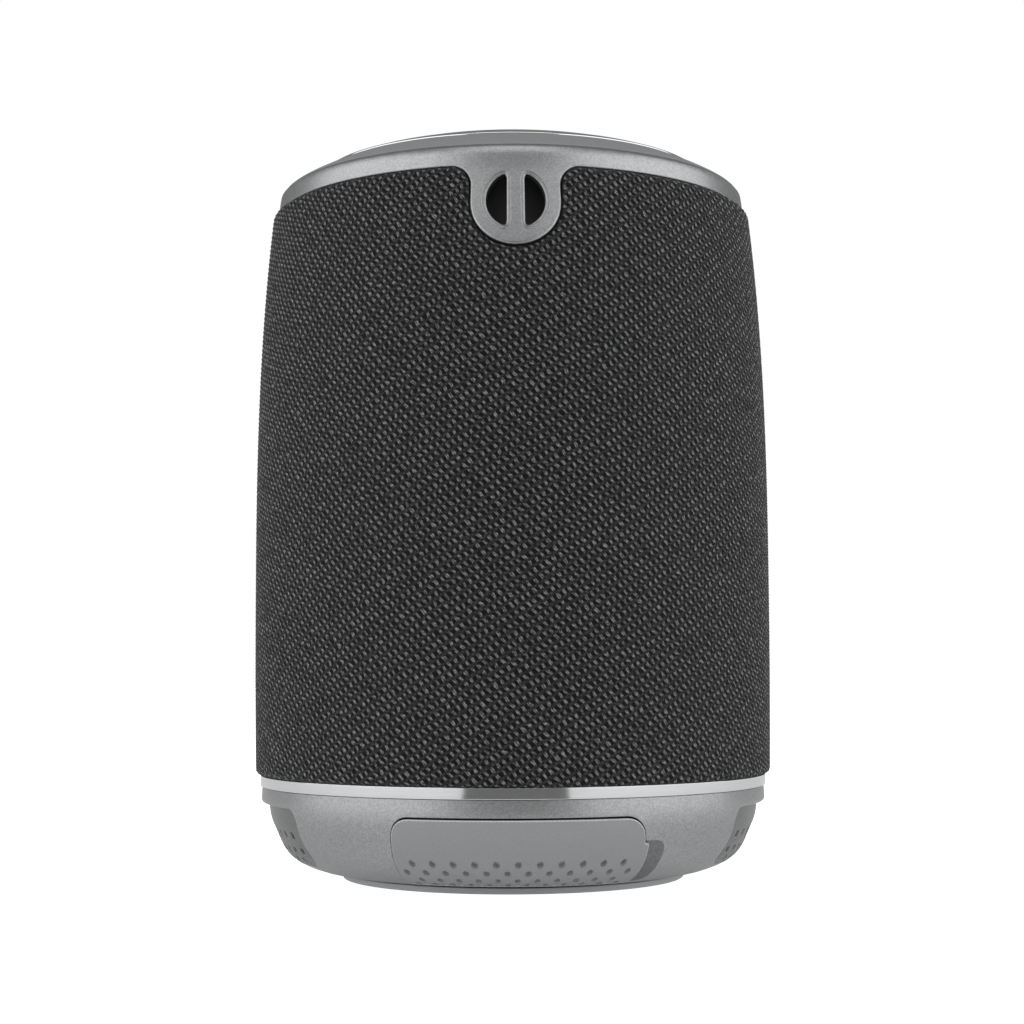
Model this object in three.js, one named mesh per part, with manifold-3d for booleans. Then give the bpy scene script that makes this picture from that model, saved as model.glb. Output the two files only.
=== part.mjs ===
// A portable smart speaker: a fabric-wrapped round body on a bowl-shaped base, with a metallic
// crown that carries a strap tab at the back, a control panel on top, and a rubber flap over
// the sockets in the base. Millimetres, +Z up, origin at the middle of the foot, -Y is the back.

import * as THREE from "three";
import { mergeVertices } from "three/addons/utils/BufferGeometryUtils.js";
import Module from "manifold-3d";

const wasm = await Module();
wasm.setup();

// ---------------------------------------------------------------- driving dimensions
const overallHeight = 134.5;
const bodyRadius = 48.3; // fabric at its widest
const seam = 0.15; // gap between pieces that rest on each other
const gap = 0.3; // gap round pieces that sit in a cut-out
const roundSides = 32; // facets of the large round pieces
const driverSides = 20; // facets of the drive units
const smallSides = 14; // facets of buttons and sockets
const bowlSteps = 5; // facets up the curve of the bowl

// base
const footHeight = 1.1;
const footRadius = bodyRadius - 16.4;
const footWidth = 7.9;
const bowlEdgeRadius = footRadius - 0.2; // where the bowl meets the foot
const bowlBottom = footHeight + 0.3;
const bowlHeight = 12.5;
const bandHeight = 3.2; // upright band above the bowl
const baseRadius = bodyRadius - 1.3;
const baseWall = 2.2;
const bottomPlateThickness = 1.3;
const lipInset = 2.4; // from the foot's edge to the hole for the bottom plate
const ledgeThickness = 0.6; // ledge that the bottom plate is screwed up against
const trimHeight = 1.9;
const trimRadius = baseRadius + 0.2;
const trimWidth = 2.7;

// sleeve and the frame under it
const topTaper = 3.0; // how much slimmer the sleeve is at its top than at its waist
const bottomTaper = 0.25;
const taperPower = 2.8;
const waistShare = 0.3; // height of the widest point, as a share of the sleeve
const hemRound = 0.9;
const fabricThickness = 1.0;
const cageWall = 2.0;
const windowColumns = 8;
const windowRows = 2;
const windowWidth = 12.4;
const windowMargin = 8;
const windowBar = 6;

// crown
const rimHeight = 3.8;
const rimRadius = bodyRadius - 3.95; // bottom of the rim
const rimTopRadius = rimRadius - 0.8;
const domeHeight = 6.5; // from the rim's top to the crest
const bandInnerRadius = rimTopRadius - 7.1;
const ringInnerRadius = bandInnerRadius - 3.2;
const crestInset = 3.9; // from the panel's edge to the crest
const dishDepth = 1.3;
const crownSkin = 1.2;
const deckThickness = 1.6;
const skirtDepth = 3.6;

// strap tab
const tabHalfWidth = 7.6;
const tabDrop = 14.1; // from the rim's bottom to the tab's lowest point
const tabFillet = 3.5;
const tabThickness = 1.8;
const strapHoleRadius = 5.05;
const strapHoleDrop = 6.2; // from the rim's bottom to the middle of the strap hole
const strapBarWidth = 3.06;
const pocketDepth = 6.2;
const pocketWall = 1.2;

// socket flap and side vents; their sides run along the bowl, towards the axis
const flapHalfWidth = 21; // at its top
const flapSpread = 3.1; // how much wider each side is at its bottom, before it turns in
const flapBottom = 2.0;
const flapTop = 14.2;
const flapCorner = 3.2;
const flapThickness = 1.5;
const flapProud = 0.2;
const tetherWidth = 1.7; // rubber strip that holds the flap at its other end
const tetherHeight = 4;
const tetherMiddle = 9.8;
const lipReach = 0.8; // finger lip along the lower part of the flap's free end
const lipTop = 9.8;
const scoopReach = 3.6; // finger recess in the base beside that lip
const scoopBottom = 2.4;
const scoopTop = 10.2;
const scoopDepth = 1.2;
const portPanelLap = 1.6; // of the port panel behind the shell, past the flap's opening
const ventHalfWidth = 28.7;
const ventBottom = 3.8;
const ventTop = 14.2;
const ventCorner = 5.0;
const ventInset = 1.5;
const ventInsertThickness = 1.4;
const ventSlotPitch = 4.75; // degrees
const ventSlotWidth = 1.2;
const ventSlots = 9;
const ventSlotBottom = 6;
const ventSlotHeight = 3.4;

// inside
const chamberCorner = 7;
const chamberClearance = 1.06; // between the speaker box's corners and the frame's narrow top
const chamberWall = 2.2;
const lidThickness = 2.4;
const gasketThickness = 0.8;
const driverMargin = 7.4; // from a drive unit's frame to the edge of the box's face
const driverRoll = 8; // width of the frame and the rubber roll round the cone
const magnetRadius = 14;
const coilRadius = 7.4;
const cellRadius = 9.2;
const cellMargin = 9.3; // above and below the cells, inside the box
const boardThickness = 1.6;
const mainBoardInset = 9.5; // from the outside of the base
const mainBoardBottom = 12.1;
const postRadius = 3.4;
const screwToFoot = 1.5; // between the screw heads and the foot
const screwRadius = 1.5;
const screwHeadRadius = 3;
const buttonTravel = 0.6;
const playRadius = 7.5;
const innerWeb = 3.7; // panel left between the play button and the four round it
const outerWeb = 1.9; // panel left between those four and the light ring
const lightInset = 4.4; // from the crest to the middle of the light ring
const lightWidth = 1.8;
const lightDepth = 1.1;

// ---------------------------------------------------------------- worked out from them
const bowlTop = bowlBottom + bowlHeight;
const baseTop = bowlTop + bandHeight;
const ledgeBottom = bowlBottom + bottomPlateThickness + seam;
const ledgeTop = ledgeBottom + ledgeThickness;
const trimBottom = baseTop + seam;
const trimTop = trimBottom + trimHeight;
const crest = overallHeight;
const rimTop = crest - domeHeight;
const rimBottom = rimTop - rimHeight;
const sleeveBottom = trimTop + seam;
const sleeveTop = rimBottom - seam;
const sleeveHeight = sleeveTop - sleeveBottom;
const waist = sleeveBottom + waistShare * sleeveHeight;
const tabBottom = rimBottom - tabDrop;
const strapMiddle = rimBottom - strapHoleDrop;
const panelRadius = ringInnerRadius - gap;
const crestRadius = panelRadius - crestInset;
const lightRadius = crestRadius - lightInset;
const buttonRoom = lightRadius - lightWidth / 2 - seam; // radius inside the light ring's groove
const sideButtonRadius = (buttonRoom - outerWeb - innerWeb - playRadius - 3 * gap) / 2;
const sideButtonPlace = buttonRoom - outerWeb - gap - sideButtonRadius;
const chassisBottom = sleeveBottom;
const chassisThickness = 2.2;
const chamberBottom = chassisBottom + chassisThickness + gap;
const pocketFloor = rimRadius - pocketDepth;
const chamberTop = tabBottom - pocketWall - lidThickness - gasketThickness - 2 * seam;
const lidTop = chamberTop + seam + gasketThickness + seam + lidThickness;
const driverMiddle = (chamberBottom + chamberTop) / 2;
const flapPlane = Math.sqrt(baseRadius ** 2 - flapHalfWidth ** 2); // depth of the flap's ends
const cageInset = fabricThickness + gap;
const cageNarrow = bodyRadius - topTaper - cageInset - cageWall; // inside of the frame at its top
const cornerShare = Math.SQRT2 - 1; // how much a round corner shortens the box's diagonal
const chamberHalf = (cageNarrow - chamberClearance + cornerShare * chamberCorner) / Math.SQRT2;
const driverFrameRadius = chamberHalf - driverMargin;
const coneRadius = driverFrameRadius - driverRoll;
const cellLength = chamberTop - chamberBottom - 2 * cellMargin;
const mainBoardRadius = baseRadius - mainBoardInset;
const postPlace = (footRadius - footWidth - screwToFoot - screwHeadRadius) / Math.SQRT2;

// ---------------------------------------------------------------- solids
function solid(geometry) {
  geometry.deleteAttribute("normal");
  geometry.deleteAttribute("uv");
  const merged = mergeVertices(geometry, 1e-4);
  const index = merged.index.array;
  const kept = [];
  for (let i = 0; i < index.length; i += 3) {
    const [a, b, c] = index.slice(i, i + 3);
    if (a !== b && b !== c && c !== a) kept.push(a, b, c);
  }
  return new wasm.Manifold(
    new wasm.Mesh({
      numProp: 3,
      vertProperties: merged.attributes.position.array,
      triVerts: new Uint32Array(kept),
    }),
  );
}

// A closed profile of [radius, height] points, anticlockwise, turned about Z.
function revolve(profile, sides = roundSides) {
  const points = profile.map(([r, z]) => new THREE.Vector2(r, z));
  const closed = profile[0][0] > 0 || profile.at(-1)[0] > 0;
  if (closed) points.push(points[0].clone());
  const turned = new THREE.LatheGeometry(points, sides);
  return solid(turned.rotateX(Math.PI / 2));
}

function prism(shape, depth, curveSegments = 6) {
  const settings = { depth, bevelEnabled: false, curveSegments };
  return solid(new THREE.ExtrudeGeometry(shape, settings));
}

// An outline drawn in X and Z, as seen from the back, made into a bar along Y from y0 to y1.
function backPrism(shape, y0, y1, curveSegments) {
  const bar = prism(shape, y1 - y0, curveSegments);
  return bar.rotate([90, 0, 0]).translate([0, y1, 0]);
}

// The same, but its sides run towards the axis: the outline has its own width at flapPlane.
function radialBar(shape, curveSegments) {
  const outer = bodyRadius + 2;
  const inner = 20;
  const settings = { depth: outer - inner, bevelEnabled: false, curveSegments };
  const bar = new THREE.ExtrudeGeometry(shape, settings).rotateX(Math.PI / 2).translate(0, -inner, 0);
  const { position } = bar.attributes;
  for (let i = 0; i < position.count; i++) {
    position.setX(i, (position.getX(i) * -position.getY(i)) / flapPlane);
  }
  return solid(bar);
}

function box(width, depth, height, x = 0, y = 0, z = 0) {
  const block = new THREE.BoxGeometry(width, depth, height);
  return solid(block).translate([x, y, z + height / 2]);
}

function rod(radius, bottom, top, x = 0, y = 0, sides = smallSides) {
  const cylinder = new THREE.CylinderGeometry(radius, radius, top - bottom, sides);
  return solid(cylinder.rotateX(Math.PI / 2)).translate([x, y, (top + bottom) / 2]);
}

function roundedRectangle(x0, z0, x1, z1, bottomCorner, topCorner = bottomCorner) {
  const shape = new THREE.Shape();
  shape.moveTo(x0 + bottomCorner, z0);
  shape.lineTo(x1 - bottomCorner, z0);
  shape.absarc(x1 - bottomCorner, z0 + bottomCorner, bottomCorner, -Math.PI / 2, 0);
  shape.lineTo(x1, z1 - topCorner);
  shape.absarc(x1 - topCorner, z1 - topCorner, topCorner, 0, Math.PI / 2);
  shape.lineTo(x0 + topCorner, z1);
  shape.absarc(x0 + topCorner, z1 - topCorner, topCorner, Math.PI / 2, Math.PI);
  shape.lineTo(x0, z0 + bottomCorner);
  shape.absarc(x0 + bottomCorner, z0 + bottomCorner, bottomCorner, Math.PI, Math.PI * 1.5);
  return shape;
}

// An outline through [x, z, radius] corners, each rounded by a curve that starts its radius away.
function roundedOutline(corners) {
  const points = corners.map(([x, z]) => new THREE.Vector2(x, z));
  const towards = (from, to, reach) =>
    from.clone().add(to.clone().sub(from).setLength(reach));
  const shape = new THREE.Shape();
  corners.forEach(([, , radius], i) => {
    const here = points[i];
    const start = towards(here, points.at(i - 1), radius);
    const end = towards(here, points[(i + 1) % points.length], radius);
    if (i === 0) shape.moveTo(start.x, start.y);
    else shape.lineTo(start.x, start.y);
    shape.quadraticCurveTo(here.x, here.y, end.x, end.y);
  });
  shape.closePath();
  return shape;
}

const steps = (count) => Array.from({ length: count + 1 }, (_, i) => i / count);
const fromAxisY = (part) => part.rotate([-90, 0, 0]);

// ---------------------------------------------------------------- the part's scene graph
const speaker = new THREE.Group();

const finish = (color, roughness, metalness = 0) =>
  new THREE.MeshStandardMaterial({ color, roughness, metalness });
const metallicPaint = finish(0x9c9c9c, 0.42, 0.6);
const brightMetal = finish(0xd4d4d4, 0.25, 1);
const darkFabric = finish(0x3a3a3a, 0.95);
const softGrey = finish(0x848484, 0.6);
const blackPlastic = finish(0x1d1d1e, 0.55);
const blackRubber = finish(0x222222, 0.85);
const greenBoard = finish(0x1c4a2e, 0.5);
const steel = finish(0xb4b4b4, 0.3, 1);
const paperCone = finish(0x2a2a2a, 0.8);
const magnetBlack = finish(0x333438, 0.6, 0.4);
const cellWrap = finish(0x2f5fa8, 0.45);
const ribbonWhite = finish(0xd8d8d2, 0.6);
const diffuser = finish(0xe8e8e8, 0.5);

function add(name, part, material) {
  const { vertProperties, triVerts } = part.getMesh();
  const geometry = new THREE.BufferGeometry();
  geometry.setAttribute("position", new THREE.BufferAttribute(vertProperties, 3));
  geometry.setIndex(new THREE.BufferAttribute(triVerts, 1));
  geometry.computeVertexNormals();
  const mesh = new THREE.Mesh(geometry, material);
  mesh.name = name;
  speaker.add(mesh);
}

// ---------------------------------------------------------------- base
// Points of the bowl's curve, set in from its outside by an inset, from the foot upward.
function bowlCurve(inset, count) {
  const wide = baseRadius - bowlEdgeRadius - inset;
  const high = bowlHeight - inset;
  return steps(count).map((t) => {
    const angle = (t * Math.PI) / 2;
    return [bowlEdgeRadius + wide * Math.sin(angle), bowlTop - high * Math.cos(angle)];
  });
}

// The layer of the base's skin between two insets, running up to the base's top.
function baseLayer(outer, inner) {
  const outside = [...bowlCurve(outer, bowlSteps), [baseRadius - outer, baseTop]];
  const inside = [...bowlCurve(inner, bowlSteps), [baseRadius - inner, baseTop]];
  return revolve([...outside, ...inside.reverse()]);
}

const aboveLedge = (part) => part.subtract(box(200, 200, 100, 0, 0, ledgeTop + gap - 100));

const flapSide = (z) => flapHalfWidth + (flapSpread * (flapTop - z)) / (flapTop - flapBottom);

function flapOutline(grow) {
  const low = flapBottom - grow;
  const high = flapTop + grow;
  const wide = flapSide(flapBottom) + grow;
  return roundedOutline([
    [-wide, low, 1],
    [wide + lipReach, low, 1],
    [flapSide(lipTop) + lipReach + grow, lipTop + grow, 0.5],
    [flapSide(lipTop) + grow, lipTop + grow, 0.2],
    [flapHalfWidth + grow, high, flapCorner],
    [-flapHalfWidth - grow, high, flapCorner],
  ]);
}

const backBar = (shape, curveSegments) => backPrism(shape, -bodyRadius - 2, -20, curveSegments);

function ventBar(side, grow) {
  const outline = roundedRectangle(
    -ventHalfWidth - grow,
    ventBottom - grow,
    ventHalfWidth + grow,
    ventTop + grow,
    ventCorner + grow,
    flapCorner + grow,
  );
  return radialBar(outline, 3).rotate([0, 0, 90 * side]);
}

function addBaseShell() {
  const lip = footRadius - lipInset;
  const ledge = lip - 3;
  const inside = bowlCurve(baseWall, bowlSteps).filter(([, z]) => z > ledgeTop + 0.2);
  const bowl = revolve([
    ...bowlCurve(0, bowlSteps),
    [baseRadius, baseTop],
    [baseRadius - baseWall, baseTop],
    ...inside.reverse(),
    [lip, ledgeTop],
    [ledge, ledgeTop],
    [ledge, ledgeBottom],
    [lip, ledgeBottom],
    [lip, bowlBottom],
  ]);
  const scoopOutline = roundedOutline([
    [flapHalfWidth - 2, scoopBottom, 1],
    [flapSide(scoopBottom) + lipReach + scoopReach, scoopBottom, 2],
    [flapSide(scoopTop) + lipReach + scoopReach, scoopTop, 2.6],
    [flapHalfWidth - 2, scoopTop, 1],
  ]);
  const scoop = radialBar(scoopOutline, 3).intersect(baseLayer(-1, scoopDepth));
  const shell = bowl
    .subtract(radialBar(flapOutline(gap), 4))
    .subtract(scoop)
    .subtract(ventBar(-1, gap))
    .subtract(ventBar(1, gap));
  add("base_shell", shell, metallicPaint);
}

function addFlap() {
  const skin = baseLayer(-flapProud, flapThickness);
  const outline = radialBar(flapOutline(0), 4);
  const slab = (grow) => {
    const width = 2 * (tetherWidth + grow);
    const height = tetherHeight + 2 * grow;
    return box(width, 40, height, -flapSide(tetherMiddle), -38, tetherMiddle - height / 2);
  };
  add("port_flap", skin.intersect(outline).subtract(slab(gap)), softGrey);
  add("flap_tether", skin.intersect(outline).intersect(slab(0)), softGrey);
}

function addSideVent(name, side) {
  const plug = baseLayer(ventInset, ventInset + ventInsertThickness).intersect(ventBar(side, 0));
  const behind = baseWall + seam;
  const flange = aboveLedge(
    baseLayer(behind, behind + ventInsertThickness).intersect(ventBar(side, 1.5)),
  );
  let vent = plug.add(flange);
  for (let i = 0; i < ventSlots; i++) {
    const turn = (i - (ventSlots - 1) / 2) * ventSlotPitch;
    const slot = box(ventSlotWidth, 30, ventSlotHeight, 0, -bodyRadius + 6, ventSlotBottom);
    vent = vent.subtract(slot.rotate([0, 0, 90 * side + turn]));
  }
  add(name, vent, softGrey);
}

const usb = { x: -6, width: 8.9, height: 3.3, depth: 8 };
const aux = { x: 7.5, radius: 2.4, body: 5, depth: 9, sleeve: 5.3 };
const socketMouth = baseRadius - 5.8;
const socketTop = mainBoardBottom - seam;

function addPortPanel() {
  const front = baseWall + gap;
  const skin = baseLayer(front, front + 1.6).intersect(radialBar(flapOutline(portPanelLap), 2));
  const panel = aboveLedge(skin);
  const usbMiddle = socketTop - usb.height / 2;
  const usbHole = roundedRectangle(
    usb.x - usb.width / 2 - gap,
    usbMiddle - usb.height / 2 - gap,
    usb.x + usb.width / 2 + gap,
    usbMiddle + usb.height / 2 + gap,
    usb.height / 2,
  );
  const auxHole = new THREE.Shape();
  auxHole.absarc(aux.x, socketTop - aux.body / 2, aux.radius + gap, 0, Math.PI * 2);
  const pierced = panel.subtract(backBar(usbHole, 4)).subtract(backBar(auxHole, 8));
  add("port_panel", pierced, blackPlastic);
}

function addSockets() {
  const middle = socketTop - usb.height / 2;
  const tube = (inset) =>
    roundedRectangle(
      usb.x - usb.width / 2 + inset,
      middle - usb.height / 2 + inset,
      usb.x + usb.width / 2 - inset,
      middle + usb.height / 2 - inset,
      usb.height / 2 - inset - 0.01,
    );
  const mouth = -socketMouth;
  const shell = backPrism(tube(0), mouth, mouth + usb.depth, 4);
  const hollow = backPrism(tube(0.3), mouth - 1, mouth + usb.depth - 1, 4);
  const tongue = box(6.6, usb.depth - 1.2, 0.7, usb.x, mouth + usb.depth / 2 + 0.3, middle - 0.35);
  add("usb_socket", shell.subtract(hollow).add(tongue), steel);

  const auxMiddle = socketTop - aux.body / 2;
  const sleeve = fromAxisY(rod(aux.radius, mouth, mouth + aux.sleeve)).translate([aux.x, 0, auxMiddle]);
  const body = box(
    aux.body + 0.6,
    aux.depth,
    aux.body,
    aux.x,
    mouth + aux.sleeve - 0.2 + aux.depth / 2,
    socketTop - aux.body,
  );
  const bore = fromAxisY(rod(1.8, mouth - 1, mouth + 10)).translate([aux.x, 0, auxMiddle]);
  add("aux_jack", sleeve.add(body).subtract(bore), blackPlastic);
}

const postPlaces = [
  [postPlace, postPlace],
  [-postPlace, postPlace],
  [-postPlace, -postPlace],
  [postPlace, -postPlace],
];

function addFoot() {
  const inner = footRadius - footWidth;
  const ring = revolve([
    [inner, 0],
    [footRadius - 0.4, 0],
    [footRadius, 0.4],
    [footRadius, footHeight],
    [inner, footHeight],
  ]);
  add("foot_ring", ring, blackRubber);
}

const plateBottom = bowlBottom;
const plateTop = plateBottom + bottomPlateThickness;
const headHeight = 1.2;

function addBottomPlate() {
  let plate = rod(footRadius - lipInset - gap, plateBottom, plateTop + seam / 2, 0, 0, roundSides);
  for (const [x, y] of postPlaces) {
    plate = plate.subtract(rod(screwRadius + gap, plateBottom - 1, plateTop + 1, x, y, 12));
  }
  add("bottom_plate", plate, blackPlastic);
}

function addBaseScrews() {
  postPlaces.forEach(([x, y], i) => {
    const head = rod(screwHeadRadius, plateBottom - seam - 0.9, plateBottom - seam, x, y, 12);
    const shank = rod(screwRadius, plateBottom - seam - 0.5, plateBottom + 9, x, y, 12);
    const slot = box(0.9, 3.6, 0.5, x, y, plateBottom - seam - 0.9 - 0.1);
    add(`base_screw_${i + 1}`, head.add(shank).subtract(slot), steel);
  });
}

function addMainBoard() {
  const top = mainBoardBottom + boardThickness;
  let board = rod(mainBoardRadius, mainBoardBottom, top, 0, 0, driverSides);
  for (const [x, y] of postPlaces) {
    board = board.subtract(rod(postRadius + gap, mainBoardBottom - 1, top + 1, x, y, 12));
  }
  add("main_board", board, greenBoard);
  const betweenPosts = 2 * (postPlace - postRadius - 1.4);
  const shield = box(betweenPosts, 16, 2.4, 0, mainBoardRadius - 33.5, top + seam);
  add("amplifier_shield", shield, steel);
  const module = box(betweenPosts - 2, 12, 2.2, 0, mainBoardRadius - 12.5, top + seam);
  add("wireless_module", module, steel);
}

function addBaseTrimRing() {
  const inner = trimRadius - trimWidth;
  const ring = revolve([
    [inner, trimBottom],
    [trimRadius - 0.2, trimBottom],
    [trimRadius, trimBottom + 0.2],
    [trimRadius, trimTop - 0.2],
    [trimRadius - 0.2, trimTop],
    [inner, trimTop],
  ]);
  add("base_trim_ring", ring, brightMetal);
}

const ribbon = { width: 8, thickness: 0.3, place: -(chamberHalf + 2.8) };

function addChassis() {
  const radius = trimRadius - trimWidth - gap;
  let chassis = rod(radius, chassisBottom, chassisBottom + chassisThickness, 0, 0, roundSides);
  for (const [x, y] of postPlaces) {
    chassis = chassis
      .add(rod(postRadius, plateTop + gap + seam, chassisBottom + 0.5, x, y, 16))
      .subtract(rod(screwRadius + gap, plateTop - 1, plateBottom + 9.6, x, y, 12));
  }
  const slot = box(
    ribbon.width + 2 * gap,
    ribbon.thickness + 2 * gap,
    chassisThickness + 2,
    0,
    ribbon.place + ribbon.thickness / 2,
    chassisBottom - 1,
  );
  add("chassis", chassis.subtract(slot), blackPlastic);
}

// ---------------------------------------------------------------- sleeve and frame
function sleeveRadius(z) {
  const up = Math.max(0, z - waist) / (sleeveTop - waist);
  const down = Math.max(0, waist - z) / (waist - sleeveBottom);
  return bodyRadius - topTaper * up ** taperPower - bottomTaper * down ** 2;
}

function sleeveCurve(inset, bottom, top, count) {
  return steps(count).map((t) => {
    const z = bottom + t * (top - bottom);
    return [sleeveRadius(z) - inset, z];
  });
}

// The tab's outline, grown on every side, with fillets where it runs into the rim.
function tabOutline(grow) {
  const half = tabHalfWidth + grow;
  const fillet = tabFillet - grow;
  const top = rimBottom - grow;
  const middle = tabBottom + tabHalfWidth;
  const roof = rimBottom + 1;
  const shape = new THREE.Shape();
  shape.moveTo(-half - fillet, roof);
  shape.lineTo(-half - fillet, top);
  shape.absarc(-half - fillet, top - fillet, fillet, Math.PI / 2, 0, true);
  shape.lineTo(-half, middle);
  shape.absarc(0, middle, half, Math.PI, Math.PI * 2);
  shape.lineTo(half, top - fillet);
  shape.absarc(half + fillet, top - fillet, fillet, Math.PI, Math.PI / 2, true);
  shape.lineTo(half + fillet, roof);
  return shape;
}

function addFabricSleeve() {
  const outside = sleeveCurve(0, sleeveBottom + 1.2, sleeveTop - 1.3, 7);
  const inside = sleeveCurve(fabricThickness, sleeveBottom, sleeveTop, 4);
  const sleeve = revolve([
    [sleeveRadius(sleeveBottom) - hemRound, sleeveBottom],
    [sleeveRadius(sleeveBottom) - 0.35, sleeveBottom + 0.4],
    ...outside,
    [sleeveRadius(sleeveTop) - 0.25, sleeveTop - 0.5],
    [sleeveRadius(sleeveTop) - hemRound, sleeveTop],
    ...inside.reverse(),
  ]);
  add("fabric_sleeve", sleeve.subtract(backBar(tabOutline(gap), 8)), darkFabric);
}

const pocketHalf = strapHoleRadius + 1.2;

function strapPocket(grow, floor) {
  const outline = roundedRectangle(
    -pocketHalf - grow,
    strapMiddle - pocketHalf - grow,
    pocketHalf + grow,
    strapMiddle + strapHoleRadius + 0.6 + grow,
    2 + grow,
  );
  return backPrism(outline, -bodyRadius, -floor, 4);
}

function addGrilleFrame() {
  const outside = sleeveCurve(cageInset, sleeveBottom, sleeveTop, 4);
  const inside = sleeveCurve(cageInset + cageWall, sleeveBottom, sleeveTop, 4);
  let cage = revolve([...outside, ...inside.reverse()]);
  const reach = sleeveHeight - 2 * windowMargin - tabDrop;
  const height = (reach - (windowRows - 1) * windowBar) / windowRows;
  for (let row = 0; row < windowRows; row++) {
    const z = sleeveBottom + windowMargin + row * (height + windowBar);
    for (let column = 0; column < windowColumns; column++) {
      const window = box(windowWidth, 14, height, 0, -bodyRadius + 4, z);
      cage = cage.subtract(window.rotate([0, 0, ((column + 0.5) * 360) / windowColumns]));
    }
  }
  const behindTab = revolve([
    [0, tabBottom - 4],
    [pocketMouth(tabBottom - 4), tabBottom - 4],
    [pocketMouth(rimBottom), rimBottom],
    [0, rimBottom],
  ]);
  const cup = strapPocket(pocketWall, pocketFloor - pocketWall).intersect(behindTab);
  const clear = backBar(tabOutline(gap), 6).subtract(behindTab);
  cage = cage.subtract(clear).add(cup).subtract(strapPocket(0, pocketFloor));
  add("grille_frame", cage, blackPlastic);
}

// ---------------------------------------------------------------- crown
// Outside of the strap tab: it leans out from the rim towards the widening body.
function tabFace(z) {
  const lean = (sleeveRadius(tabBottom) + 0.2 - rimRadius) / tabDrop;
  return rimRadius + Math.max(0, rimBottom - z) * lean;
}

function pocketMouth(z) {
  return tabFace(z) - tabThickness - gap;
}

function strapHole(side) {
  const half = strapBarWidth / 2;
  const angle = Math.acos(half / strapHoleRadius);
  const shape = new THREE.Shape();
  shape.absarc(0, strapMiddle, strapHoleRadius, -angle, angle);
  shape.closePath();
  const hole = backBar(shape, 10);
  return side > 0 ? hole : hole.mirror([1, 0, 0]);
}

const bandInnerTop = rimTop + 3.85;
const ringInnerTop = rimTop + 5.3;
const panelUnderside = ringInnerTop - 2;
const deckInner = panelRadius - 1.4;

function addCrownFrame() {
  const cageInside = sleeveRadius(sleeveTop) - cageInset - cageWall;
  const skirt = cageInside - gap - 0.2;
  const skirtInner = skirt - 1.6;
  const bandSeat = rimTop - 0.45;
  const frame = revolve([
    [rimRadius, rimBottom],
    [rimRadius - 0.25, rimTop - 0.7],
    [rimTopRadius + 0.2, rimTop - 0.15],
    [rimTopRadius, rimTop],
    [rimTopRadius - crownSkin, bandSeat],
    [bandInnerRadius, bandInnerTop - crownSkin - seam],
    [deckInner + 1, panelUnderside - seam],
    [deckInner, panelUnderside - seam],
    [deckInner, panelUnderside - seam - deckThickness - 3],
    [deckInner + deckThickness, panelUnderside - seam - deckThickness - 3],
    [deckInner + deckThickness, panelUnderside - seam - deckThickness],
    [bandInnerRadius, bandInnerTop - crownSkin - deckThickness - 0.6],
    [skirtInner, rimTop - 2.4],
    [skirtInner, rimBottom - skirtDepth],
    [skirt, rimBottom - skirtDepth],
    [skirt, rimBottom],
  ]);
  const notchHalf = pocketHalf + pocketWall + gap;
  const notch = box(2 * notchHalf, 20, skirtDepth + 1.2, 0, -rimRadius, rimBottom - skirtDepth - 1);
  const tabLayer = revolve([
    [tabFace(tabBottom - 1), tabBottom - 1],
    [rimRadius, rimBottom],
    [rimRadius - 0.1, rimBottom + 0.9],
    [rimRadius - tabThickness, rimBottom + 0.9],
    [rimRadius - tabThickness, rimBottom],
    [tabFace(tabBottom - 1) - tabThickness, tabBottom - 1],
  ]);
  const tab = tabLayer.intersect(backBar(tabOutline(0), 8));
  const crown = frame.subtract(notch).add(tab).subtract(strapHole(1)).subtract(strapHole(-1));
  add("crown_frame", crown, metallicPaint);
}

function addSoftBand() {
  const outer = rimTopRadius - 0.1;
  const inner = bandInnerRadius + 0.05;
  const rise = (t) => [outer + t * (inner - outer), rimTop + 0.1 + (bandInnerTop - rimTop - 0.1) * t ** 0.85];
  const top = steps(3).map(rise);
  const band = revolve([
    ...top,
    [inner, bandInnerTop - crownSkin],
    [outer - crownSkin, rimTop - 0.2],
  ]);
  add("soft_band", band, softGrey);
}

function addTopTrimRing() {
  const ring = revolve([
    [bandInnerRadius - 0.1, bandInnerTop - crownSkin],
    [bandInnerRadius - 0.1, bandInnerTop + 0.1],
    [bandInnerRadius - 0.5, bandInnerTop + 0.35],
    [ringInnerRadius + 0.3, ringInnerTop],
    [ringInnerRadius, ringInnerTop - 0.2],
    [ringInnerRadius, panelUnderside],
    [ringInnerRadius + 1, panelUnderside],
  ]);
  add("top_trim_ring", ring, brightMetal);
}

const dishBottom = crest - dishDepth;
const dishTop = (r) => dishBottom + dishDepth * 0.75 * Math.min(1, r / crestRadius) ** 3;

const sideButtons = [
  { name: "volume_up_button", switchName: "volume_up_switch", turn: 0 },
  { name: "action_button", switchName: "action_switch", turn: 90 },
  { name: "volume_down_button", switchName: "volume_down_switch", turn: 180 },
  { name: "microphone_mute_button", switchName: "microphone_mute_switch", turn: 270 },
];
const onCircle = (radius, turn) => [
  radius * Math.cos((turn * Math.PI) / 180),
  radius * Math.sin((turn * Math.PI) / 180),
];
const microphoneTurns = [30, 210];
const microphonePlace = buttonRoom - 5.6;
const panelScrewPlace = buttonRoom - 4.4;
const panelScrewTurns = [60, 135, 315];
const controlBoardTop = panelUnderside - 3.5;

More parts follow.
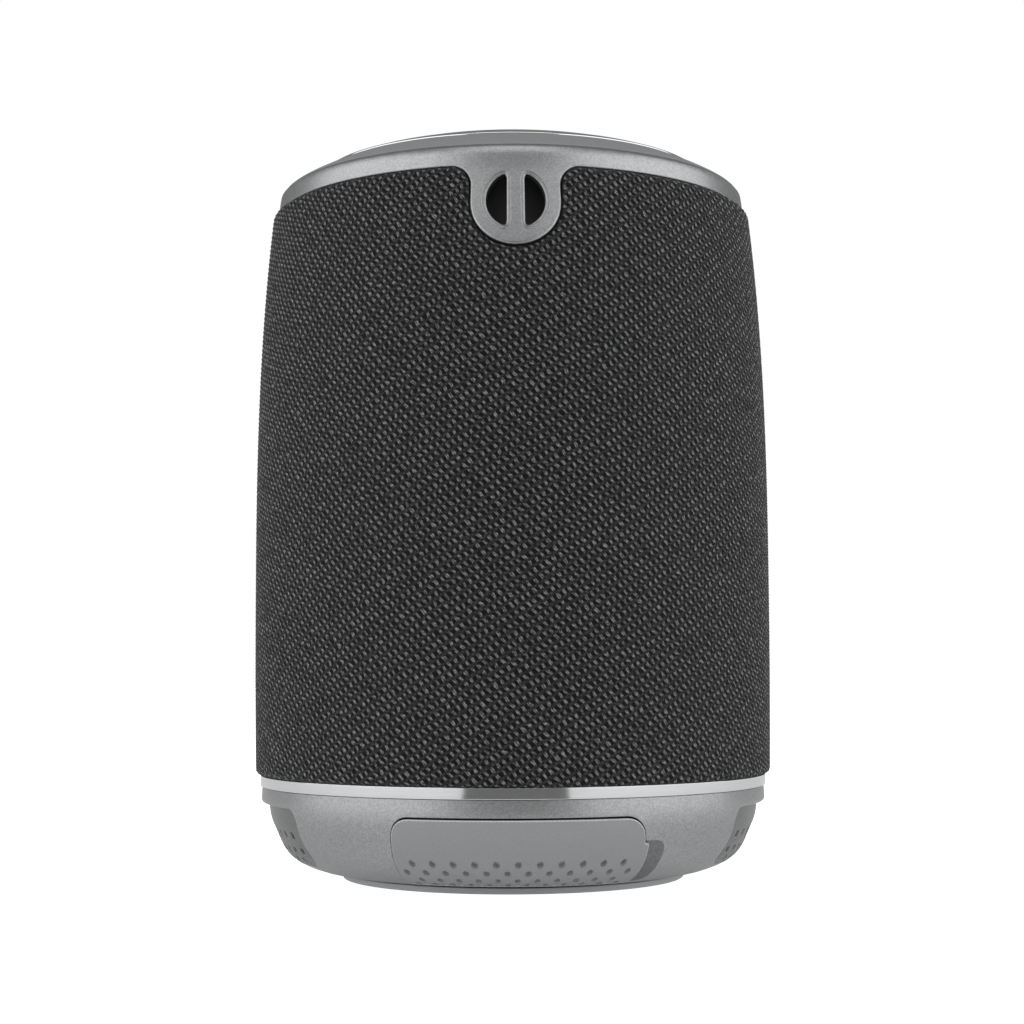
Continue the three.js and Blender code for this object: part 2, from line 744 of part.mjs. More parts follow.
function addControlPanel() {
  const half = lightWidth / 2 + seam;
  const floor = dishTop(lightRadius) - lightDepth - seam;
  let panel = revolve([
    [0, panelUnderside],
    [panelRadius, panelUnderside],
    [panelRadius, ringInnerTop - 0.1],
    [crestRadius + 1.8, crest - 0.3],
    [crestRadius, crest],
    [crestRadius - 1.6, dishTop(crestRadius - 1.6)],
    [lightRadius + half, dishTop(lightRadius + half)],
    [lightRadius + half, floor],
    [lightRadius - half, floor],
    [lightRadius - half, dishTop(lightRadius - half)],
    [crestRadius * 0.5, dishTop(crestRadius * 0.5)],
    [0, dishBottom],
  ]);
  for (const turn of panelScrewTurns) {
    const [x, y] = onCircle(panelScrewPlace, turn);
    panel = panel
      .add(rod(2, controlBoardTop + seam, panelUnderside + 0.3, x, y, 12))
      .subtract(rod(1.1, controlBoardTop - 1, panelUnderside - 0.4, x, y, 8));
  }
  const hole = (radius, x, y) => rod(radius, panelUnderside - 1, crest + 1, x, y);
  panel = panel.subtract(hole(playRadius + gap, 0, 0));
  for (const { turn } of sideButtons) {
    panel = panel.subtract(hole(sideButtonRadius + gap, ...onCircle(sideButtonPlace, turn)));
  }
  for (const turn of microphoneTurns) {
    const [x, y] = onCircle(microphonePlace, turn);
    panel = panel.subtract(rod(0.6, panelUnderside - 1, crest + 1, x, y, 8));
  }
  add("control_panel", panel, blackPlastic);

  const top = dishTop(lightRadius);
  const light = revolve([
    [lightRadius - lightWidth / 2, top - lightDepth],
    [lightRadius + lightWidth / 2, top - lightDepth],
    [lightRadius + lightWidth / 2, top],
    [lightRadius - lightWidth / 2, top],
  ]);
  add("light_ring", light, diffuser);
}

function addButton(name, radius, x, y) {
  const top = dishTop(Math.hypot(x, y)) + 0.4;
  const flangeTop = panelUnderside - gap;
  const flangeBottom = flangeTop - 0.6;
  const cap = revolve(
    [
      [0, flangeBottom],
      [radius + 0.8, flangeBottom],
      [radius + 0.8, flangeTop],
      [radius, flangeTop],
      [radius, top - 0.4],
      [radius - 0.4, top],
      [0, top],
    ],
    smallSides,
  );
  const stem = rod(1.6, flangeBottom - 1, flangeBottom + 0.3, 0, 0, 12);
  add(name, cap.add(stem).translate([x, y, 0]), softGrey);
}

function addSwitch(name, x, y) {
  const stemBottom = panelUnderside - gap - 0.6 - 1;
  const top = stemBottom - buttonTravel - 0.15;
  add(name, box(4, 4, top - controlBoardTop - seam, x, y, controlBoardTop + seam), steel);
}

function addButtons() {
  addButton("play_button", playRadius, 0, 0);
  addSwitch("play_switch", 0, 0);
  for (const { name, switchName, turn } of sideButtons) {
    const [x, y] = onCircle(sideButtonPlace, turn);
    addButton(name, sideButtonRadius, x, y);
    addSwitch(switchName, x, y);
  }
}

function addControlBoard() {
  const bottom = controlBoardTop - boardThickness;
  let board = rod(deckInner - gap, bottom, controlBoardTop, 0, 0, driverSides);
  for (const turn of panelScrewTurns) {
    const [x, y] = onCircle(panelScrewPlace, turn);
    board = board.subtract(rod(1.1, bottom - 1, controlBoardTop + 1, x, y, 8));
  }
  add("control_board", board, greenBoard);
  panelScrewTurns.forEach((turn, i) => {
    const [x, y] = onCircle(panelScrewPlace, turn);
    const head = rod(1.9, bottom - seam - 1, bottom - seam, x, y, 10);
    const shank = rod(0.75, bottom - seam - 0.3, panelUnderside - 0.8, x, y, 10);
    add(`panel_screw_${i + 1}`, head.add(shank), steel);
  });
  microphoneTurns.forEach((turn, i) => {
    const [x, y] = onCircle(microphonePlace, turn);
    add(`microphone_${i + 1}`, box(3.5, 2.6, 1.1, x, y, controlBoardTop + seam), steel);
  });
}

// ---------------------------------------------------------------- speaker box and drive units
const chamberOutline = (inset) => {
  const half = chamberHalf - inset;
  return roundedRectangle(-half, -half, half, half, chamberCorner - inset);
};
const slab = (shape, bottom, top) => prism(shape, top - bottom, 2).translate([0, 0, bottom]);

// Places a piece made about Z, facing up, onto a face of the box, at the drive units' height.
function onFace(part, turn) {
  return part.rotate([-90, 0, turn]).translate([0, 0, driverMiddle]);
}

function addChamber() {
  const floor = chamberBottom + chamberWall;
  let chamber = slab(chamberOutline(0), chamberBottom, chamberTop);
  chamber = chamber.subtract(slab(chamberOutline(chamberWall), floor, chamberTop + 1));
  const opening = rod(driverFrameRadius - 2.6, chamberHalf - 8, chamberHalf + 4, 0, 0, driverSides);
  for (const turn of [0, 90, -90]) {
    chamber = chamber.subtract(onFace(opening, turn));
  }
  add("chamber", chamber, blackPlastic);

  const gasketBottom = chamberTop + seam;
  const gasket = slab(chamberOutline(0), gasketBottom, gasketBottom + gasketThickness);
  const gasketHole = slab(chamberOutline(chamberWall), gasketBottom - 1, gasketBottom + 2);
  add("chamber_gasket", gasket.subtract(gasketHole), blackRubber);
  add("chamber_lid", slab(chamberOutline(0), lidTop - lidThickness, lidTop), blackPlastic);
}

function addDriver() {
  const face = chamberHalf + seam;
  const rear = face - 12;
  const inner = driverFrameRadius - 3.4;
  const turned = (profile) => onFace(revolve(profile, driverSides), 0);
  let basket = revolve(
    [
      [driverFrameRadius, face],
      [driverFrameRadius, face + 1.4],
      [inner, face + 1.4],
      [inner - 0.6, face],
      [magnetRadius - 2, rear + 1.6],
      [coilRadius + 2.6, rear + 1.6],
      [coilRadius + 2.6, rear],
      [magnetRadius - 1, rear],
      [inner + 0.4, face - 1],
      [inner + 0.4, face],
    ],
    driverSides,
  );
  for (const turn of [45, 135]) {
    const window = box(70, 9, 6, 0, 0, rear + 2.6).rotate([0, 0, turn]);
    basket = basket.subtract(window);
  }
  add("driver_basket", onFace(basket, 0), magnetBlack);

  const plateTop = rear - seam;
  const magnetBottom = plateTop - 11;
  const gapIn = coilRadius - 0.7;
  const gapOut = coilRadius + 1;
  const magnet = turned([
    [0, magnetBottom],
    [magnetRadius, magnetBottom],
    [magnetRadius, plateTop],
    [gapOut, plateTop],
    [gapOut, magnetBottom + 3],
    [gapIn, magnetBottom + 3],
    [gapIn, plateTop],
    [0, plateTop],
  ]);
  add("driver_magnet", magnet, magnetBlack);

  const surround = turned([
    [coneRadius + gap, face + 1.4 + seam],
    [driverFrameRadius - 0.6, face + 1.4 + seam],
    [driverFrameRadius - 0.6, face + 2.1],
    [inner - 0.2, face + 2.1],
    [inner - 1.2, face + 3],
    [coneRadius + 1.2, face + 3],
    [coneRadius + gap, face + 2.1],
  ]);
  add("driver_surround", surround, blackRubber);

  const spiderHeight = rear + 3.2;
  const spider = turned([
    [coilRadius + 0.6 + gap, spiderHeight],
    [magnetRadius - 2.6, spiderHeight],
    [magnetRadius - 2.6, spiderHeight + 0.5],
    [coilRadius + 0.6 + gap, spiderHeight + 0.5],
  ]);
  add("driver_spider", spider, paperCone);

  const neck = face - 5;
  const cone = turned([
    [coilRadius + 0.3, rear - 5],
    [coilRadius + 0.3, neck],
    [coneRadius, face + 1.4],
    [coneRadius, face + 2],
    [coilRadius - 0.3, neck + 1],
    [coilRadius - 0.3, rear - 5],
  ]);
  add("driver_cone", cone, paperCone);
  const coneSlope = (face + 1 - neck) / (coneRadius - coilRadius + 0.3);
  const capSeat = neck + 1.1 + coneSlope; // just above the cone, 1 mm out from its throat
  const cap = turned([
    [0, capSeat + 1.4],
    [coilRadius * 0.6, capSeat + 0.8],
    [coilRadius + 0.7, capSeat],
    [coilRadius + 0.7, capSeat + 0.6],
    [coilRadius * 0.6, capSeat + 1.5],
    [0, capSeat + 2.2],
  ]);
  add("driver_dust_cap", cap, paperCone);
}

function addPassiveRadiator(side, turn) {
  const face = chamberHalf + seam;
  const plateRadius = coneRadius;
  const surround = revolve(
    [
      [plateRadius + gap, face],
      [driverFrameRadius, face],
      [driverFrameRadius, face + 1.4],
      [driverFrameRadius - 3, face + 1.4],
      [driverFrameRadius - 4.4, face + 2.6],
      [plateRadius + 1.4, face + 2.6],
      [plateRadius + gap, face + 1.2],
    ],
    driverSides,
  );
  add(`radiator_surround_${side}`, onFace(surround, turn), blackRubber);
  const plate = revolve(
    [
      [0, face],
      [plateRadius, face],
      [plateRadius, face + 1.2],
      [plateRadius - 2, face + 1.2],
      [plateRadius - 3, face + 0.7],
      [0, face + 0.7],
    ],
    driverSides,
  );
  add(`radiator_plate_${side}`, onFace(plate, turn), magnetBlack);
}

function addBattery() {
  const spread = cellRadius + 0.6;
  const place = -(chamberHalf - chamberWall - cellRadius - 2.4);
  const bottom = driverMiddle - cellLength / 2;
  const cradleBack = -(chamberHalf - chamberWall - gap);
  const depth = place - cradleBack;
  let cradle = box(4 * spread, depth, cellLength * 0.6, 0, cradleBack + depth / 2, bottom + 12);
  [-spread, spread].forEach((x, i) => {
    const bed = rod(cellRadius + gap, bottom - 2, bottom + cellLength + 2, x, place, driverSides);
    cradle = cradle.subtract(bed);
    const cell = rod(cellRadius, bottom, bottom + cellLength - 1, x, place, driverSides);
    const button = rod(3, bottom + cellLength - 1.3, bottom + cellLength, x, place, 12);
    add(`battery_cell_${i + 1}`, cell.add(button), cellWrap);
  });
  add("battery_cradle", cradle, blackPlastic);
}

// Flat cable from the control board down behind the speaker box to the main board.
function addControlRibbon() {
  const t = ribbon.thickness;
  const y = ribbon.place;
  const boardTop = mainBoardBottom + boardThickness + gap;
  const high = controlBoardTop - boardThickness - gap;
  const top = box(ribbon.width, -y - 19, t, 0, (y - 19) / 2, high - t);
  const drop = box(ribbon.width, t, high - boardTop, 0, y + t / 2, boardTop);
  const foot = box(ribbon.width, 6, t, 0, y + 3, boardTop);
  add("control_ribbon", top.add(drop).add(foot), ribbonWhite);
}

addFoot();
addBottomPlate();
addBaseScrews();
addBaseShell();
addSideVent("side_vent_left", -1);
addSideVent("side_vent_right", 1);
addFlap();
addPortPanel();
addSockets();
addMainBoard();
addBaseTrimRing();
addChassis();
addFabricSleeve();
addGrilleFrame();
addChamber();
addDriver();
addPassiveRadiator("left", 90);
addPassiveRadiator("right", -90);
addBattery();
addControlRibbon();
addCrownFrame();
addSoftBand();
addTopTrimRing();
addControlPanel();
addControlBoard();
addButtons();

export default speaker;
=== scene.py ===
# A portable smart speaker with a strap tab, standing on its foot with its back towards -Y.
import math

import bmesh
import bpy
import numpy as np
from mathutils import Matrix, Vector
from mathutils.geometry import delaunay_2d_cdt
from mathutils.kdtree import KDTree


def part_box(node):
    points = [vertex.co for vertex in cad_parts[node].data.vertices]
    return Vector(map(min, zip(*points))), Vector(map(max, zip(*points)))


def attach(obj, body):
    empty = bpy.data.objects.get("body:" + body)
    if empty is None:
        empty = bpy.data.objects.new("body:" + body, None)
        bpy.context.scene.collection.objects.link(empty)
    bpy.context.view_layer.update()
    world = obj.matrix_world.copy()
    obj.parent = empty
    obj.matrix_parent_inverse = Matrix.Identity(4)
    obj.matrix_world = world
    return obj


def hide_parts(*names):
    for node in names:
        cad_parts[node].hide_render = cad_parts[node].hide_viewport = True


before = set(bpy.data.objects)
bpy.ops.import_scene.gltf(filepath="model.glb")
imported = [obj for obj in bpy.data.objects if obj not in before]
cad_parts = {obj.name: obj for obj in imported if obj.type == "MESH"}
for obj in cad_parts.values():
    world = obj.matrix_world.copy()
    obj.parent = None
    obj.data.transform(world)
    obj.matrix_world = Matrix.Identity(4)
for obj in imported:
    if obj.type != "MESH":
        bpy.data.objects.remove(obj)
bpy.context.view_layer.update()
millimetre = 0.001


# ---- Table top, camera and lights
# A plain white table and backdrop, with one large softbox to each side. The gap between
# them, behind the camera, is what the bright rings show as a short dark patch.
def add_node(tree, kind, inputs=None, **settings):
    node = tree.nodes.new(kind)
    for name, value in settings.items():
        setattr(node, name, value)
    for name, value in (inputs or {}).items():
        if isinstance(value, bpy.types.NodeSocket):
            tree.links.new(value, node.inputs[name])
        else:
            node.inputs[name].default_value = value
    return node


def linear(colour):
    channels = [int(colour[i : i + 2], 16) / 255 for i in (1, 3, 5)]
    return [c / 12.92 if c <= 0.04045 else ((c + 0.055) / 1.055) ** 2.4 for c in channels] + [1]


def new_material(name):
    material = bpy.data.materials.new(name)
    material.use_nodes = True
    tree = material.node_tree
    tree.nodes.clear()
    place = add_node(tree, "ShaderNodeTexCoord").outputs["Object"]
    output = add_node(tree, "ShaderNodeOutputMaterial")
    return material, tree, place, output.inputs["Surface"]


def show(name, points, faces, material):
    """A named object from points in millimetres."""
    mesh = bpy.data.meshes.new(name)
    mesh.from_pydata(np.asarray(points) * millimetre, [], faces)
    mesh.materials.append(material)
    mesh.shade_smooth()
    mesh.set_sharp_from_angle(angle=math.radians(38))
    made = bpy.data.objects.new(name, mesh)
    bpy.context.scene.collection.objects.link(made)
    return made


camera_distance = 371.3
camera_height = 39.65
camera_turn = math.radians(-1.07)
camera_tilt = math.radians(4.422)
camera_roll = math.radians(-0.22)
camera_data = bpy.data.cameras.new("camera")
camera_data.lens = 68.7
camera_data.sensor_width = 36
camera = bpy.data.objects.new("camera", camera_data)
bpy.context.scene.collection.objects.link(camera)
turned_round = Matrix.Rotation(camera_turn, 4, "Z")
tilted_up = Matrix.Rotation(math.pi / 2 + camera_tilt, 4, "X")
rolled = Matrix.Rotation(camera_roll, 4, "Z")
stand = Matrix.Translation(Vector((0, -camera_distance, camera_height)) * millimetre)
camera.matrix_world = turned_round @ stand @ tilted_up @ rolled
bpy.context.scene.camera = camera
bpy.context.scene.view_settings.view_transform = "Standard"

table_material, tree, place, surface = new_material("white laminate table")
grain = add_node(tree, "ShaderNodeTexNoise", {"Vector": place, "Scale": 40.0})
tones = {0: grain.outputs["Fac"], 6: linear("#f4f4f4"), 7: linear("#fafafa")}
tone = add_node(tree, "ShaderNodeMix", tones, data_type="RGBA")
laminate = add_node(tree, "ShaderNodeBsdfDiffuse", {"Color": tone.outputs[2]})
glow = add_node(tree, "ShaderNodeEmission", {"Color": linear("#ffffff"), "Strength": 0.16})
lit = add_node(tree, "ShaderNodeAddShader", {0: laminate.outputs[0], 1: glow.outputs[0]})
white = add_node(tree, "ShaderNodeEmission", {"Color": linear("#ffffff"), "Strength": 0.8})
brighter = add_node(tree, "ShaderNodeAddShader", {0: lit.outputs[0], 1: white.outputs[0]})
seen = add_node(tree, "ShaderNodeLightPath").outputs["Is Camera Ray"]
either = add_node(tree, "ShaderNodeMixShader", {0: seen, 1: lit.outputs[0], 2: brighter.outputs[0]})
tree.links.new(either.outputs[0], surface)
table_reach = 3000
table_height = -0.05
spokes = 48
rings = [60, 200, 600, 1500, table_reach]
turns = [math.tau * i / spokes for i in range(spokes)]
table_points = [(r * math.cos(t), r * math.sin(t), table_height) for r in rings for t in turns]
table_points.append((0, 0, table_height))
table_faces = [(spokes * len(rings), i, (i + 1) % spokes) for i in range(spokes)]
for ring in range(len(rings) - 1):
    for i in range(spokes):
        j = (i + 1) % spokes
        near, far = spokes * ring, spokes * (ring + 1)
        table_faces.append((near + i, far + i, far + j, near + j))
table = show("table_top", table_points, table_faces, table_material)


lamp_distance = 0.9
lamp_aim = Vector((0, 0, 0.07))


def add_softbox(name, azimuth, height, width, tall, power):
    lamp = bpy.data.lights.new(name, "AREA")
    lamp.shape = "RECTANGLE"
    lamp.size = width
    lamp.size_y = tall
    lamp.energy = power
    made = bpy.data.objects.new(name, lamp)
    turn = math.radians(azimuth)
    made.location = (lamp_distance * math.sin(turn), -lamp_distance * math.cos(turn), height)
    aim = lamp_aim - made.location
    made.rotation_euler = aim.to_track_quat("-Z", "Y").to_euler()
    bpy.context.scene.collection.objects.link(made)


add_softbox("softbox_left", -68, 0.35, 1.5, 1.1, 7.6)
add_softbox("softbox_right", 68, 0.35, 1.5, 1.1, 7.6)
add_softbox("softbox_above", 0, 1.3, 1.0, 0.8, 3.5)

# A grey card lies on the table in front of the speaker, outside the view, and darkens the
# middle of what the bright rings reflect.
card_material, tree, place, surface = new_material("matt grey card")
fibres = add_node(tree, "ShaderNodeTexNoise", {"Vector": place, "Scale": 300.0})
tones = {0: fibres.outputs["Fac"], 6: linear("#7e7e7e"), 7: linear("#888888")}
tone = add_node(tree, "ShaderNodeMix", tones, data_type="RGBA")
card_shader = add_node(tree, "ShaderNodeBsdfDiffuse", {"Color": tone.outputs[2]})
tree.links.new(card_shader.outputs[0], surface)
card_near = 175
card_far = 2500
card_half = math.radians(21)
card_height = 0.6
turns = [card_half * (i / 6 - 1) for i in range(13)]
card_points = [(r * math.sin(t), -r * math.cos(t), card_height) for r in (card_near, card_far) for t in turns]
card_faces = [(i, i + 13, i + 14, i + 1) for i in range(12)]
card = show("grey_card", card_points, card_faces, card_material)
card.visible_camera = False

world = bpy.data.worlds.new("studio")
bpy.context.scene.world = world
world.use_nodes = True
tree = world.node_tree
tree.nodes.clear()
seen = add_node(tree, "ShaderNodeLightPath").outputs["Is Camera Ray"]
backdrop = add_node(tree, "ShaderNodeBackground", {"Color": linear("#ffffff")})
fill = add_node(tree, "ShaderNodeBackground", {"Color": linear("#ffffff"), "Strength": 0.2})
either = add_node(tree, "ShaderNodeMixShader", {0: seen, 1: fill.outputs[0], 2: backdrop.outputs[0]})
add_node(tree, "ShaderNodeOutputWorld", {"Surface": either.outputs[0]})


# ---- Foot ring
# The ring that the speaker stands on: grey silicone rubber, moulded, and pressed into a groove
# round the bowl's underside. Matt, with a faint tooling grain. Its colour is a lighter copy of
# the flap's grey rubber: painted light that makes up for the shade near the table.
def rounded(corners, steps=5):
    """An outline from corners of (x, y, radius)."""
    outline = []
    for i, (x, y, radius) in enumerate(corners):
        here = Vector((x, y))
        if radius == 0:
            outline.append((x, y))
            continue
        before = (Vector(corners[i - 1][:2]) - here).normalized()
        after = (Vector(corners[(i + 1) % len(corners)][:2]) - here).normalized()
        half = before.angle(after) / 2
        middle = here + (before + after).normalized() * radius / math.sin(half)
        start = here + before * radius / math.tan(half) - middle
        end = here + after * radius / math.tan(half) - middle
        first = math.atan2(start.y, start.x)
        turn = (math.atan2(end.y, end.x) - first + math.pi) % math.tau - math.pi
        for step in range(steps + 1):
            angle = first + turn * step / steps
            outline.append((middle.x + radius * math.cos(angle), middle.y + radius * math.sin(angle)))
    return outline


def turned(outline, segments=192, x=0, y=0):
    """An outline of (radius, height) turned round an upright axis."""
    count = len(outline)
    points = []
    faces = []
    for i in range(segments):
        turn = math.tau * i / segments
        points += [(x + r * math.cos(turn), y + r * math.sin(turn), z) for r, z in outline]
        for j in range(count):
            here, there = i * count, (i + 1) % segments * count
            k = (j + 1) % count
            faces.append((here + j, there + j, there + k, here + k))
    return points, faces


def fit(made, body, slot, *nodes):
    """Fits a piece in place of its CAD nodes."""
    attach(made, body)
    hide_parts(*nodes)
    weights = made.modifiers.new("even_shading", "WEIGHTED_NORMAL")
    weights.keep_sharp = True
    return made


def two_tone(name, dark, light, scale, relief=(0.25, 0.05), detail=3.0, stretch=(1.0, 1.0, 1.0), **finish):
    """Two close tones in a fine grain, which also gives the relief: (strength, height in mm)."""
    material, tree, place, surface = new_material(name)
    laid = add_node(tree, "ShaderNodeMapping", {"Vector": place, "Scale": stretch}).outputs["Vector"]
    noise = add_node(tree, "ShaderNodeTexNoise", {"Vector": laid, "Scale": scale, "Detail": detail})
    grain = noise.outputs["Fac"]
    tone = add_node(tree, "ShaderNodeMix", {0: grain, 6: linear(dark), 7: linear(light)}, data_type="RGBA")
    if relief:
        strength, height = relief
        bumps = {"Height": grain, "Strength": strength, "Distance": height * millimetre}
        finish["Normal"] = add_node(tree, "ShaderNodeBump", bumps).outputs["Normal"]
    shader = add_node(tree, "ShaderNodeBsdfPrincipled", {"Base Color": tone.outputs[2], **finish})
    tree.links.new(shader.outputs["BSDF"], surface)
    return material


# A lighter copy of the flap's grey rubber: painted light against the shade under the bowl.
foot_rubber_painted_light = two_tone(
    "grey silicone rubber lightened as painted light", "#c0c2c3", "#cbccce", 2500.0, None, Roughness=0.5, IOR=1.41
)

foot_radius = 31.9
foot_inner = 24.0
foot_height = 1.1
foot_outline = rounded(
    [
        (foot_inner, 0, 0.3),
        (foot_radius, 0, 0.4),
        (foot_radius, foot_height, 0.15),
        (foot_inner, foot_height, 0.15),
    ]
)
made = show("foot_ring_piece", *turned(foot_outline), foot_rubber_painted_light)
fit(made, "housing", "black_rubber", "foot_ring")


# ---- Bottom plate and its screws
# A disc of black ABS, injection moulded with a fine spark texture and three shallow turned
# grooves, held up against the bowl's ledge by four zinc-plated pan-head screws.
black_abs = two_tone(
    "spark-textured black ABS", "#2b2b2d", "#39393b", 3500.0, (0.3, 0.06), 2.0, Roughness=0.48, IOR=1.53
)

plate_radius = 29.2
plate_low = 1.4
plate_high = 2.8
groove_depth = 0.25
axis = 0.01  # mm, so that the faces at the middle keep an area
plate_outline = [(axis, plate_low)]
for groove in (8.0, 14.0, 20.0):
    plate_outline += [
        (groove - 0.5, plate_low),
        (groove - 0.3, plate_low + groove_depth),
        (groove + 0.3, plate_low + groove_depth),
        (groove + 0.5, plate_low),
    ]
plate_edge = [(plate_radius, plate_low, 0.3), (plate_radius, plate_high, 0.2), (axis, plate_high, 0)]
plate_outline += rounded(plate_edge)
made = show("bottom_plate_piece", *turned(plate_outline), black_abs)
fit(made, "housing", "black_plastic", "bottom_plate")

zinc = two_tone(
    "bright zinc-plated steel", "#b4b8ba", "#cdd0d0", 900.0, None, 2.0, Metallic=1.0, Roughness=0.28
)
shank_radius = 1.4
head_height = 1.4
recess_half = 0.32
recess_reach = 1.5
recess_depth = 0.25
recess_proud = 0.01


def screw(x, y, low, high, head_radius):
    """A pan head with a cross recess, seen from below, and its shank."""
    outline = rounded(
        [
            (axis, low, 0),
            (head_radius, low, 0.5),
            (head_radius, low + head_height, 0.1),
            (shank_radius, low + head_height + 0.1, 0),
            (shank_radius, high, 0.3),
            (axis, high, 0),
        ]
    )
    points, faces = turned(outline, 32, x, y)
    arm = [(recess_half, recess_half), (recess_reach, recess_half), (recess_reach, -recess_half)]
    first = len(points)
    for quarter in range(4):
        angle = math.radians(90 * quarter + 45)
        for px, py in arm:
            turned_x = px * math.cos(angle) - py * math.sin(angle)
            turned_y = px * math.sin(angle) + py * math.cos(angle)
            points.append((x + turned_x, y + turned_y, low - recess_proud))
    count = len(points) - first
    points += [(px, py, low + recess_depth) for px, py, _ in points[first:]]
    faces.append(tuple(range(first + count - 1, first - 1, -1)))
    faces.append(tuple(range(first + count, first + 2 * count)))
    for i in range(count):
        j = (i + 1) % count
        faces.append((first + i, first + j, first + count + j, first + count + i))
    return points, faces


for number in range(1, 5):
    node = f"base_screw_{number}"
    low, high = (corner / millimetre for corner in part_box(node))
    middle = (low + high) / 2
    head = (high.x - low.x) / 2
    made = show(f"{node}_piece", *screw(middle.x, middle.y, low.z, high.z, head), zinc)
    fit(made, "housing", "zinc_steel", node)


# ---- Base shell
# The bowl under the body: moulded ABS, sprayed with silver lacquer that carries aluminium
# flake, so it has a fine sparkle and broad soft reflections. The port opening, the openings
# for the side vents and a finger recess are moulded in; the recess gets a darker lacquer
# that paints in the shade falling there.
def surface_of(profile, reference):
    """Maps (distance round, distance up the profile) and an offset outwards to the real place."""
    line = np.array(profile, float)
    run = np.concatenate([[0], np.cumsum(np.hypot(*np.diff(line, axis=0).T))])
    slope = np.gradient(line, run, axis=0)
    slope /= np.hypot(*slope.T)[:, None]

    def place(flat, offset=0.0):
        radius = np.interp(flat[:, 1], run, line[:, 0])
        height = np.interp(flat[:, 1], run, line[:, 1])
        radius += offset * np.interp(flat[:, 1], run, slope[:, 1])
        height -= offset * np.interp(flat[:, 1], run, slope[:, 0])
        turn = flat[:, 0] / reference
        return np.stack([radius * np.sin(turn), -radius * np.cos(turn), height], 1)

    def run_at(height):
        return np.interp(height, line[:, 1], run)

    return place, run_at, run[-1]


def inside(points, loop):
    """Which points lie inside a closed loop."""
    start, end = loop, np.roll(loop, -1, axis=0)
    crossings = np.zeros(len(points), int)
    for (x0, y0), (x1, y1) in zip(start, end):
        if y0 == y1:
            continue
        spans = (y0 > points[:, 1]) != (y1 > points[:, 1])
        crossings += spans & (points[:, 0] < (x1 - x0) * (points[:, 1] - y0) / (y1 - y0) + x0)
    return crossings % 2 == 1


def within(points, loop):
    """Distance from a closed loop, counted positive inside it."""
    distance = np.full(len(points), 1e9)
    for start, end in zip(loop, np.roll(loop, -1, axis=0)):
        along = end - start
        share = np.clip((points - start) @ along / max(along @ along, 1e-12), 0, 1)
        distance = np.minimum(distance, np.hypot(*(points - start - share[:, None] * along).T))
    return np.where(inside(points, loop), distance, -distance)


def even(loop, spacing):
    """The same closed loop with points no further apart than the spacing."""
    loop = np.asarray(loop, float)
    points = []
    for start, end in zip(loop, np.roll(loop, -1, axis=0)):
        length = np.hypot(*(end - start))
        if length < 1e-6:
            continue
        pieces = max(1, math.ceil(length / spacing))
        points += [start + (end - start) * i / pieces for i in range(pieces)]
    return np.array(points)


def inset(loop, distance):
    """An anticlockwise loop moved inwards."""
    before = loop - np.roll(loop, 1, axis=0)
    after = np.roll(loop, -1, axis=0) - loop
    before /= np.hypot(*before.T)[:, None]
    after /= np.hypot(*after.T)[:, None]
    normal = np.stack([-(before + after)[:, 1], (before + after)[:, 0]], 1)
    normal /= np.hypot(*normal.T)[:, None]
    cosine = np.clip((normal * np.stack([-after[:, 1], after[:, 0]], 1)).sum(1), 0.5, 1)
    return loop + normal * (distance / cosine)[:, None]


def roll(distance, radius):
    """How far a rounded edge falls away at a distance from the edge."""
    short = np.clip(radius - distance, 0, radius)
    return np.sqrt(radius**2 - short**2) - radius


def edge_loops(loop, radius, side=1):
    """The lines that carry a rounded edge."""
    return [inset(loop, side * radius * share) for share in (0.04, 0.16, 0.4, 0.7, 1.05)]


def skin(place, edge, holes, creases, rise, depth, spacing):
    """A wall with an outline, holes and a formed outer face, closed at its back and edges."""
    points = []
    lines = []
    for loop in [edge, *holes, *creases]:
        first = len(points)
        points += [tuple(p) for p in loop]
        lines += [(first + i, first + (i + 1) % len(loop)) for i in range(len(loop))]
    tree = KDTree(len(points))
    for i, (x, y) in enumerate(points):
        tree.insert((x, y, 0), i)
    tree.balance()
    low, high = edge.min(0), edge.max(0)
    rows = np.arange(low[1] + spacing / 2, high[1], spacing * 0.87)
    grid = [
        (x + spacing / 2 * (row % 2), y)
        for row, y in enumerate(rows)
        for x in np.arange(low[0] + spacing / 2, high[0], spacing)
    ]
    grid = np.array(grid)
    keep = inside(grid, edge)
    for hole in holes:
        keep &= ~inside(grid, hole)
    for x, y in grid[keep]:
        if tree.find((x, y, 0))[2] > 0.62 * spacing:
            points.append((x, y))
    made = delaunay_2d_cdt([Vector(p) for p in points], lines, [], 0, 1e-5)
    flat = np.array([tuple(p) for p in made[0]])
    triangles = np.array([tuple(f) for f in made[2]])
    centres = flat[triangles].mean(1)
    keep = inside(centres, edge)
    for hole in holes:
        keep &= ~inside(centres, hole)
    triangles = triangles[keep]
    a, b, c = flat[triangles[:, 0]], flat[triangles[:, 1]], flat[triangles[:, 2]]
    area = (b - a)[:, 0] * (c - a)[:, 1] - (b - a)[:, 1] * (c - a)[:, 0]
    triangles[area < 0] = triangles[area < 0][:, ::-1]
    used = np.unique(triangles)
    number = np.full(len(flat), -1)
    number[used] = np.arange(len(used))
    flat = flat[used]
    triangles = number[triangles]
    count = len(flat)
    top = place(flat, rise(flat))
    under = place(flat, -depth)
    faces = [tuple(t) for t in triangles] + [(k + count, j + count, i + count) for i, j, k in triangles]
    seen = {}
    for i, j, k in triangles:
        for here, there in ((i, j), (j, k), (k, i)):
            seen[(here, there)] = True
    end = np.abs(np.abs(flat[:, 0]) - high[0]) < 1e-4
    long = high[0] > 2.9 * high[1]  # this long, a strip gets no walls at its two ends, which are welded
    for here, there in seen:
        if (there, here) in seen or (long and end[here] and end[there]):
            continue
        faces.append((there, here, here + count, there + count))
    return np.concatenate([top, under]), faces


